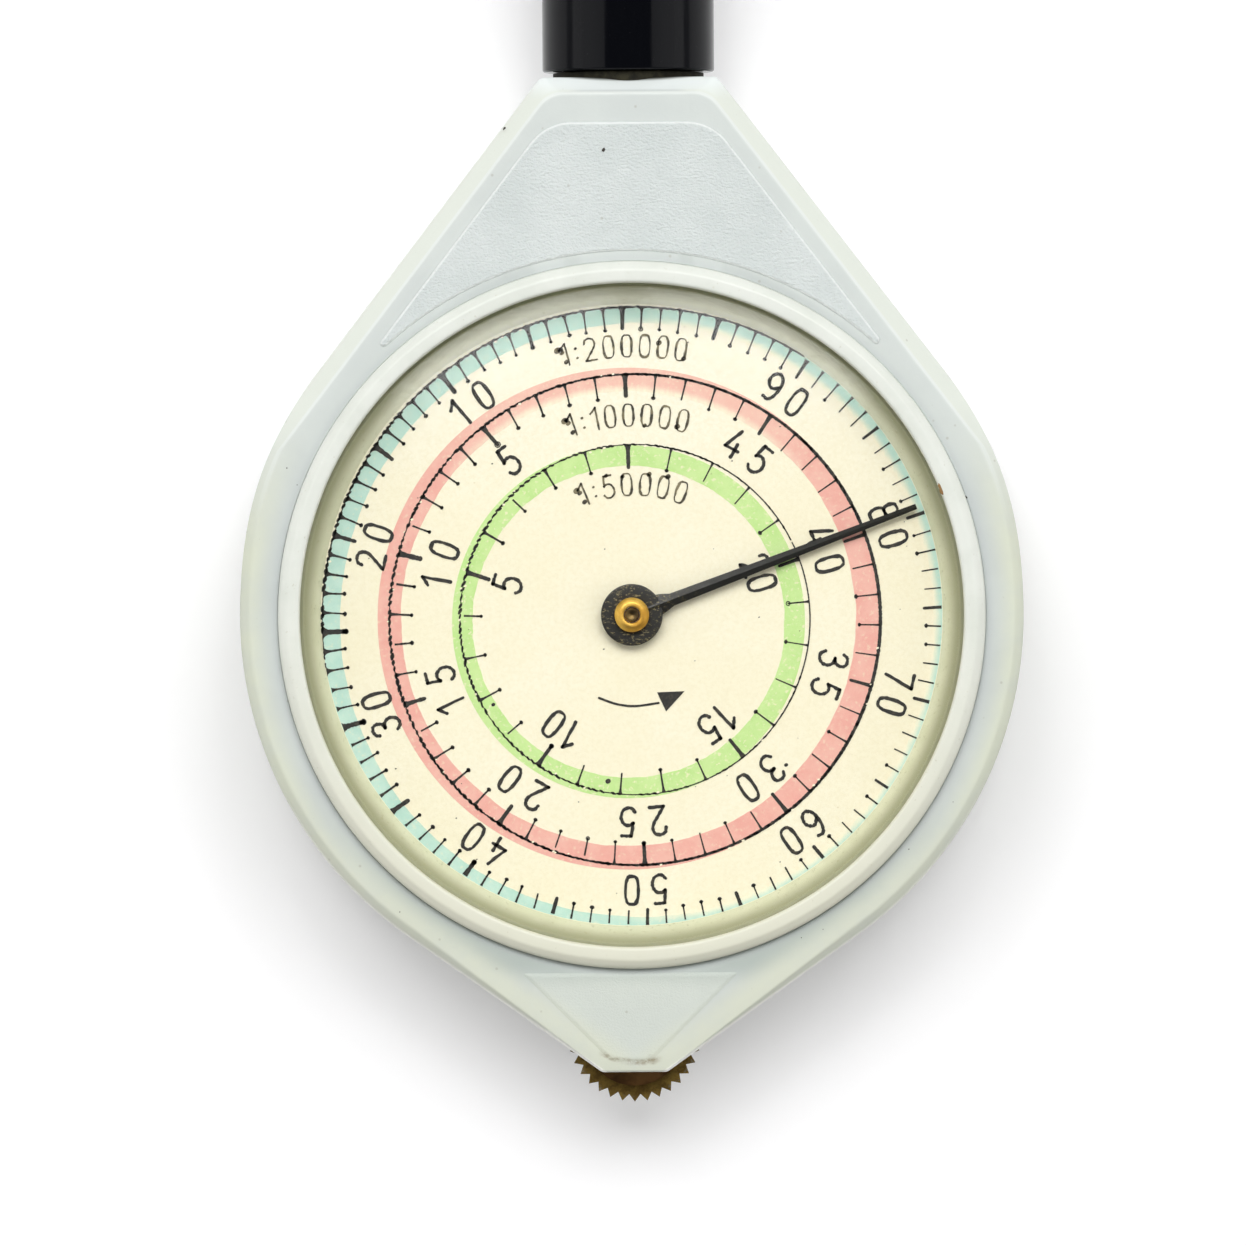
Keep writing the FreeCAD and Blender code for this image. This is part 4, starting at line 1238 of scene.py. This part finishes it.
            self.glyph(ink, GLYPHS[letter][1], place, stroke, blots)
            offset += width + gap

    def glyph(self, ink, strokes, place, width, blots):
        """Strokes of one figure."""
        def uneven():
            return width * self.dice.uniform(0.78, 1.18)

        for kind, *data in strokes:
            if kind == "dot":
                self.dab(ink, place(data[0]), (0.03, 0.02), uneven() * 1.35)
                continue
            if kind == "loop":
                line = [place(point) for point in stadium(*data)]
                phase = self.dice.uniform(0, 6.28)
                swing = 0.38 if blots else 0.14
                widths = [uneven() * (1 + swing * math.sin(phase + 12.57 * step / len(line)))
                          for step in range(len(line))]
                ink.ribbon(line, widths, self.low, self.high, closed=True)
            elif kind == "line":
                start, end = Vector(data[0]), Vector(data[1])
                line = [place(start.lerp(end, step / 6)) for step in range(7)]
                ink.stroke(line, [uneven() for _ in line], self.low, self.high)
            else:
                line = [place(point) for point in smooth_curve(data)]
                ink.stroke(line, [uneven() for _ in line], self.low, self.high)
            if self.dice.random() < blots:
                spot = line[self.dice.randrange(len(line))]
                self.dab(ink, spot, (0.05, 0.04), self.dice.uniform(0.2, 0.3))

    def legend(self, ink, text, low, start, end):
        """Thin figures of a map ratio, as far round as from one angle to the other."""
        self.write(ink, text, low, RATIO_HEIGHT, (start + end) / 2 * self.sense, start - end, RATIO_STROKE,
                   0.35)
        first = (start + 0.35) * self.sense
        for rise, along, size in ((1.0, 0.3, 0.33), (0.8, -0.5, 0.26), (0.2, -0.9, 0.22)):
            self.dab(ink, self.spot(low + rise, first + along), (0.06, 0.05),
                     size * self.dice.uniform(0.8, 1.1))

    def arrow(self, ink):
        """Arrow along an arc under the hub: the way that the hand turns."""
        shaft = smooth_curve([(-1.99, -4.93), (-0.95, -5.3), (0.16, -5.43), (1.56, -5.25)])
        shaft = [Vector((self.sense * point.x, point.y)) for point in shaft]
        ink.stroke(shaft, [0.14 * self.dice.uniform(0.85, 1.15) for _ in shaft], self.low, self.high)
        head = [(1.47, -4.62), (3.11, -4.56), (2.0, -5.76)]
        corners = [Vector((self.sense * x, y)) for x, y in head]
        top = ink.loop([(point.x, point.y, self.high) for point in corners])
        bottom = ink.loop([(point.x, point.y, self.low) for point in corners])
        ink.face(top)
        ink.face(reversed(bottom))
        ink.bridge(bottom, top)

    def dots(self, ink):
        """Stray ink dots and specks of dust."""
        for x, y, size in ((-8.3, -5.3, 0.2), (-1.5, -9.9, 0.28), (9.1, -9.0, 0.2)):
            self.dab(ink, Vector((self.sense * x, y)), (0.04, 0.02), size)
        for _ in range(34):
            spot = polar(17.5 * math.sqrt(self.dice.random()), self.dice.uniform(0, 360))
            size = self.dice.uniform(0.03, 0.07)
            self.dab(ink, spot, (size / 2, 0.01), size)

    def flecks(self, card):
        """Bare specks of card where the ink of the circles has flaked off."""
        for radius in RINGS.values():
            for _ in range(int(radius * 4)):
                degrees = self.dice.uniform(0, 360)
                if self.dice.random() > self.clotting(degrees) - 0.15:
                    continue
                spot = self.spot(radius + self.dice.choice((-1, 1)) * self.dice.uniform(0.03, 0.13), degrees)
                size = self.dice.uniform(0.07, 0.13)
                if spot.length < self.limit - 0.2:
                    self.dab(card, spot, (size / 2, 0.02), size, FLECK_RISE)

    def band(self, name):
        """Ring of colour, a little off the print's centre, and cut off by the window."""
        (x, y), inner, outer = BANDS[name]
        colour = Mesh()
        steps = 360
        low = DIAL_FACE + BAND_LOW
        high = DIAL_FACE + BAND_HIGH
        middle = Vector((self.sense * x, y))
        sections = []
        drift = 0.0
        for step in range(steps):
            direction = polar(1, 360 * step / steps)
            drift = 0.8 * drift + self.dice.uniform(-BAND_WAVE, BAND_WAVE)
            inside, outside = middle + direction * (inner + drift), middle + direction * outer
            if outer > WINDOW_RADIUS:
                on_ring = self.centre + direction * RINGS["outer"]
                outside = direction * min(self.limit, on_ring.length)
            sections.append(colour.loop([(*inside, high), (*inside, low), (*outside, low), (*outside, high)]))
        colour.skin(sections, joined=True)
        colour.piece("{}_" + name.removeprefix("band_") + "_band", self.side, "case", [name])


def dial_print(side):
    """Colour bands, circles, ticks, figures, ratios and arrow of one dial."""
    made = DialPrint(side, 41 if side > 0 else 87)
    for name in BANDS:
        made.band(name)
    ink = Mesh()
    tens = [(value, value * 3.6 + made.turn - 1.3 * made.sense * (value == 10))
            for value in range(10, 100, 10)]
    fives = [(value, value * 7.2 + made.turn) for value in range(5, 50, 5)]
    few = [(value, value * 14.4 + made.turn) for value in range(5, 25, 5)]
    made.scale(ink, "outer", 100, tens, 15.28, 8.7, 0.17)
    made.scale(ink, "middle", 50, fives, 11.22, 12.5, 0.17, 0.6)
    made.scale(ink, "inner", 25, few, 7.04, 14.0, 0.13)
    made.arrow(ink)
    made.dots(ink)
    ink.piece("{}_dial_ink", side, "case", ["print_ink"])
    card = Mesh()
    made.flecks(card)
    card.piece("{}_dial_flecks", side, "case", ["dial_card"])
    words = Mesh()
    for ratio in RATIOS:
        made.legend(words, *ratio)
    words.piece("{}_dial_ratios", side, "case", ["legend_ink"])


# ---- hands ----

def hand(side):
    """Long thin hand with a ridge along its blade, on a round hub."""
    along = polar(1, HAND_ANGLE if side > 0 else 180 - HAND_ANGLE)
    across = Vector((-along.y, along.x))
    shape = Mesh()
    thick = HAND_HIGH - HAND_LOW
    eave = HAND_LOW + thick * 0.55
    root = COLLET_RADIUS * 0.8
    half_root, half_tip = 0.42, 0.165
    sections = []
    stations = 40
    for step in range(stations + 1):
        reach = root + (HAND_LENGTH - root) * step / stations
        half = half_root + (half_tip - half_root) * (reach / HAND_LENGTH)
        half += 0.3 * math.exp(-((reach - HUB_RADIUS) / 0.32) ** 2)
        middle = along * reach
        left, right = middle + across * half, middle - across * half
        sections.append(shape.loop([(*left, HAND_LOW), (*left, eave), (*middle, HAND_HIGH), (*right, eave),
                                    (*right, HAND_LOW)]))
    shape.skin(sections, capped=True)
    hub_bore = COLLET_RADIUS - 0.28
    hub_top = HAND_HIGH - 0.04
    shape.turned(softened([(hub_bore, HAND_LOW), (HUB_RADIUS, HAND_LOW), (HUB_RADIUS, hub_top),
                           (hub_bore, hub_top)], thick * 0.3), 96)
    shape.piece("{}_hand_blade", side, "hands", ["hand_lacquer"], ["{}_hand"], sharp=24.0)


def collet(side):
    """Small brass collet with a turned step, and the burnished end of the arbor in it."""
    bore = 0.47
    stem = 0.75
    stem_low = HAND_LOW - 0.25
    step = HAND_HIGH - 0.04
    shape = Mesh()
    shape.turned(softened([
        (bore, stem_low), (stem, stem_low), (stem, step), (COLLET_RADIUS, step),
        (COLLET_RADIUS, COLLET_TOP - 0.22), (COLLET_RADIUS - 0.12, COLLET_TOP - 0.1),
        (COLLET_RADIUS - 0.3, COLLET_TOP), (bore + 0.06, COLLET_TOP), (bore, COLLET_TOP - 0.08)], 0.05), 96)
    shape.piece("{}_collet_ring", side, "hands", ["collet_brass"], ["{}_collet"], sharp=40.0)
    tip = Mesh()
    inside = ARBOR_END - 0.05
    tip.turned([(0.0, inside), (bore - 0.02, inside), (bore - 0.02, COLLET_TOP - 0.09),
                (bore - 0.09, COLLET_TOP - 0.03), (0.2, COLLET_TOP - 0.02), (0.12, COLLET_TOP - 0.06),
                (0.0, COLLET_TOP - 0.09)], 48, joined=False)
    tip.piece("{}_arbor_tip", side, "hands", ["arbor_steel"])


# ---- small marks of use ----

def crumb(gathered, dice, x, y, z, size, height, stretch=1.0, lean=0.0):
    """Irregular flat grain of dirt."""
    steps = 12
    rings = []
    along = polar(1, lean)
    across = Vector((-along.y, along.x))
    radii = [size * dice.uniform(0.65, 1.2) for _ in range(steps)]
    for share, level in ((1.0, -0.4), (0.92, 0.3), (0.55, 0.85)):
        ring = []
        for step, radius in enumerate(radii):
            turn = 2 * math.pi * step / steps
            point = Vector((x, y)) + along * radius * share * stretch * math.cos(turn)
            point += across * radius * share * math.sin(turn)
            ring.append((*point, z + level * height))
        rings.append(gathered.loop(ring))
    gathered.skin(rings, capped=True)


def marks():
    """Grains of dirt that sit on the case, the bezel and the pad, as on the used object."""
    dice = random.Random(5)
    pad_top = CASE_DEPTH + PAD_HEIGHT
    dark = Mesh()
    crumb(dark, dice, -1.5, 27.6, pad_top, 0.09, 0.04, 1.7, 60)
    crumb(dark, dice, -7.39, 28.95, CASE_DEPTH - 0.75, 0.07, 0.04, 1.8, 40)
    crumb(dark, dice, 19.86, 6.85, CASE_DEPTH, 0.09, 0.03, 1.2, 0)
    for _ in range(7):
        spot = polar(dice.uniform(21.3, 22.4), dice.uniform(150, 330))
        crumb(dark, dice, spot.x, spot.y, CASE_DEPTH, dice.uniform(0.025, 0.05), 0.02)
    dark.piece("front_dark_specks", 1, "case", ["speck_dark"])
    brown = Mesh()
    crumb(brown, dice, 18.47, 7.4, BEZEL_TOP - 0.05, 0.24, 0.03, 1.7, 105)
    for _ in range(5):
        spot = polar(dice.uniform(20.2, 20.7), dice.uniform(0, 360))
        crumb(brown, dice, spot.x, spot.y, BEZEL_TOP - 0.03, dice.uniform(0.03, 0.06), 0.02)
    brown.piece("front_brown_specks", 1, "case", ["speck_brown"])
    yellow = Mesh()
    crumb(yellow, dice, 13.9, -14.35, BEZEL_TOP - 0.04, 0.12, 0.03)
    yellow.piece("front_yellow_speck", 1, "case", ["speck_yellow"])


# ---- stage ----

def seen_white(made, shader, glow):
    """Adds a plain glow to a surface for the rays of camera, gloss and transmission only, so that the
    ground looks white, casts no more light and keeps the object's shadow."""
    path = made.node("ShaderNodeLightPath")
    seen = made.maths("MAXIMUM", path.outputs["Is Camera Ray"], path.outputs["Is Glossy Ray"])
    seen = made.maths("MAXIMUM", seen, path.outputs["Is Transmission Ray"])
    light = made.node("ShaderNodeEmission", {"Color": (1, 1, 1, 1), "Strength": made.times(seen, glow)})
    return made.shown(made.node("ShaderNodeAddShader", {0: shader.outputs[0], 1: light.outputs[0]}))


def paper_white():
    """Matt white ground."""
    made = Look("paper_white")
    fibre = made.spread(made.noise(0.28, 3.0, 0.6), 0.3, 0.7)
    colour = made.blend(fibre, (227, 226, 227), (234, 234, 235))
    shader = made.node("ShaderNodeBsdfDiffuse", {"Color": colour})
    return seen_white(made, shader, 0.24)


def ground():
    """Round white floor that curves up into a low wall all round."""
    steps = 96
    profile = [(0.4, 0.0), (1.6, 0.0), (2.2, 0.02), (2.7, 0.15), (3.1, 0.45), (3.3, 0.9), (3.35, 1.6)]
    points = [(0.0, AXIS_Y, 0.0)]
    faces = []
    for radius, height in profile:
        points += [(radius * math.cos(2 * math.pi * step / steps),
                    AXIS_Y + radius * math.sin(2 * math.pi * step / steps), height) for step in range(steps)]
    for step in range(steps):
        after = (step + 1) % steps
        faces.append((0, 1 + step, 1 + after))
        for ring in range(len(profile) - 1):
            low, high = 1 + ring * steps, 1 + (ring + 1) * steps
            faces.append((low + step, high + step, high + after, low + after))
    mesh = bpy.data.meshes.new("ground")
    mesh.from_pydata(points, [], faces)
    mesh.shade_smooth()
    mesh.materials.append(paper_white())
    made = add_object("ground", mesh)


SOFTBOXES = (                  # name, place from the middle of the dial in metres, size, share of the power
    ("key", (0.28, 0.56, 0.98), 0.5, 0.88),
    ("top", (0.15, 0.33, 1.1), 0.22, 0.16),
    ("side", (1.1, 0.0, 0.75), 1.2, 0.92),
)


def softbox(name, place, size, power):
    """Square lamp that points at the middle of the dial."""
    stage = bpy.context.scene.measurer_stage
    lamp = bpy.data.lights.new(name, "AREA")
    lamp.shape = "SQUARE"
    lamp.size = size
    lamp.energy = power * stage.lamp_power
    made = add_object(name, lamp)
    made.location = Vector(place) + Vector((0, AXIS_Y, 0))
    made.rotation_euler = Vector(place).to_track_quat("Z", "Y").to_euler()


def sky():
    """Plain surroundings, darker straight above, where the camera hangs."""
    strength = bpy.context.scene.measurer_stage.sky
    world = bpy.data.worlds.new("studio")
    world.use_nodes = True
    tree = world.node_tree
    place = tree.nodes.new("ShaderNodeTexCoord")
    parts = tree.nodes.new("ShaderNodeSeparateXYZ")
    tree.links.new(place.outputs["Generated"], parts.inputs[0])
    fade = tree.nodes.new("ShaderNodeMapRange")
    tree.links.new(parts.outputs["Z"], fade.inputs["Value"])
    for name, value in (("From Min", 0.62), ("From Max", 0.84), ("To Min", strength), ("To Max", 0.03)):
        fade.inputs[name].default_value = value
    tree.links.new(fade.outputs[0], tree.nodes["Background"].inputs["Strength"])
    tree.nodes["Background"].inputs["Color"].default_value = (1, 1, 1, 1)
    bpy.context.scene.world = world


def camera():
    """Long lens straight above the dial."""
    stage = bpy.context.scene.measurer_stage
    centre_x, centre_y = -0.53, -0.48          # millimetres beside the arbor
    data = bpy.data.cameras.new("camera")
    data.lens = data.sensor_width * stage.distance / (stage.view_width / MM) / MM
    made = add_object("camera", data)
    made.location = (centre_x * MM, centre_y * MM + AXIS_Y, MID_Z + stage.distance)
    made.rotation_euler = (0, 0, -stage.lean)
    bpy.context.scene.camera = made


# ---- add-on ----

class PieceOperator:
    """What all operators share."""

    bl_options = {"REGISTER", "UNDO"}

    def execute(self, context):
        self.build(context)
        return {"FINISHED"}


class MEASURER_OT_stage(PieceOperator, bpy.types.Operator):
    """White ground, six square lamps, plain sky and the camera"""

    bl_idname = "measurer.stage"
    bl_label = "Stage"

    def build(self, context):
        context.scene.view_settings.view_transform = "Standard"
        ground()
        sky()
        for name, (x, y, z), size, power in SOFTBOXES:
            softbox("softbox_left_" + name, (-x, y, z), size, power)
            softbox("softbox_right_" + name, (x, y, z), size, power)
        camera()


class MEASURER_OT_case(PieceOperator, bpy.types.Operator):
    """Both moulded halves of the case with their raised pads"""

    bl_idname = "measurer.case"
    bl_label = "Case"

    def build(self, context):
        for side in (1, -1):
            case_half(side)
            shoulder_pad(side)
            foot_pad(side)


class MEASURER_OT_bezels(PieceOperator, bpy.types.Operator):
    """Off-white ring round each window"""

    bl_idname = "measurer.bezels"
    bl_label = "Bezels"

    def build(self, context):
        for side in (1, -1):
            bezel(side)


class MEASURER_OT_crystals(PieceOperator, bpy.types.Operator):
    """Domed clear window of each dial"""

    bl_idname = "measurer.crystals"
    bl_label = "Crystals"

    def build(self, context):
        for side in (1, -1):
            crystal(side)


class MEASURER_OT_dials(PieceOperator, bpy.types.Operator):
    """Card and print of both dials"""

    bl_idname = "measurer.dials"
    bl_label = "Dials"

    def build(self, context):
        for side in (1, -1):
            dress(side_name(side) + "_dial", "dial_card")
            dial_print(side)


class MEASURER_OT_hands(PieceOperator, bpy.types.Operator):
    """Hand, collet and arbor end of both dials"""

    bl_idname = "measurer.hands"
    bl_label = "Hands"

    def build(self, context):
        for side in (1, -1):
            hand(side)
            collet(side)


class MEASURER_OT_handle(PieceOperator, bpy.types.Operator):
    """Glossy black handle"""

    bl_idname = "measurer.handle"
    bl_label = "Handle"

    def build(self, context):
        handle_grip()


class MEASURER_OT_wheel(PieceOperator, bpy.types.Operator):
    """Looks of the measuring wheel, its boss and its cheek"""

    bl_idname = "measurer.wheel"
    bl_label = "Measuring wheel"

    def build(self, context):
        dress("measuring_wheel", "wheel_brass")
        # The boss and the cheek take the darker brass, which paints the shade of the case edge on them.
        dress("wheel_boss", "boss_bronze")
        dress("wheel_cheek", "boss_bronze")


class MEASURER_OT_movement(PieceOperator, bpy.types.Operator):
    """Looks of the plates, pillars, screws, arbors and gears"""

    bl_idname = "measurer.movement"
    bl_label = "Movement"

    def build(self, context):
        for node in ("front_plate", "rear_plate", "plate_pillars", "first_gear", "second_gear",
                     "centre_gear"):
            dress(node, "brass")
        for node in ("plate_screws", "wheel_axle", "wheel_pinion", "first_arbor", "first_pinion",
                     "second_arbor", "second_pinion", "centre_arbor"):
            dress(node, "steel")


class MEASURER_OT_marks(PieceOperator, bpy.types.Operator):
    """Small grains of dirt on the front"""

    bl_idname = "measurer.marks"
    bl_label = "Marks of use"

    def build(self, context):
        marks()


OPERATORS = (MEASURER_OT_stage, MEASURER_OT_case, MEASURER_OT_bezels, MEASURER_OT_crystals,
             MEASURER_OT_dials, MEASURER_OT_hands, MEASURER_OT_handle, MEASURER_OT_wheel,
             MEASURER_OT_movement, MEASURER_OT_marks)


class MEASURER_PT_panel(bpy.types.Panel):
    """Lists the settings and the operators"""

    bl_idname = "MEASURER_PT_panel"
    bl_label = "Map measurer"
    bl_space_type = "VIEW_3D"
    bl_region_type = "UI"
    bl_category = "Measurer"

    def draw(self, context):
        layout = self.layout
        for group in [getattr(context.scene, name) for name in GROUPS]:
            column = layout.column()
            for name in type(group).__annotations__:
                column.prop(group, name)
        for operator in OPERATORS:
            layout.operator(operator.bl_idname)


GROUPS = {"measurer_case": CaseSettings, "measurer_dial": DialSettings, "measurer_stage": StageSettings}


def register():
    """Registers the settings, the operators and the panel."""
    for name, group in GROUPS.items():
        bpy.utils.register_class(group)
        setattr(bpy.types.Scene, name, bpy.props.PointerProperty(type=group))
    for operator in OPERATORS:
        bpy.utils.register_class(operator)
    bpy.utils.register_class(MEASURER_PT_panel)


def unregister():
    """Takes all of it out again."""
    bpy.utils.unregister_class(MEASURER_PT_panel)
    for operator in reversed(OPERATORS):
        bpy.utils.unregister_class(operator)
    for name, group in GROUPS.items():
        delattr(bpy.types.Scene, name)
        bpy.utils.unregister_class(group)


def main():
    """Builds all pieces in order."""
    register()
    for operator in OPERATORS:
        group, name = operator.bl_idname.split(".")
        getattr(getattr(bpy.ops, group), name)()


if __name__ == "__main__":
    main()
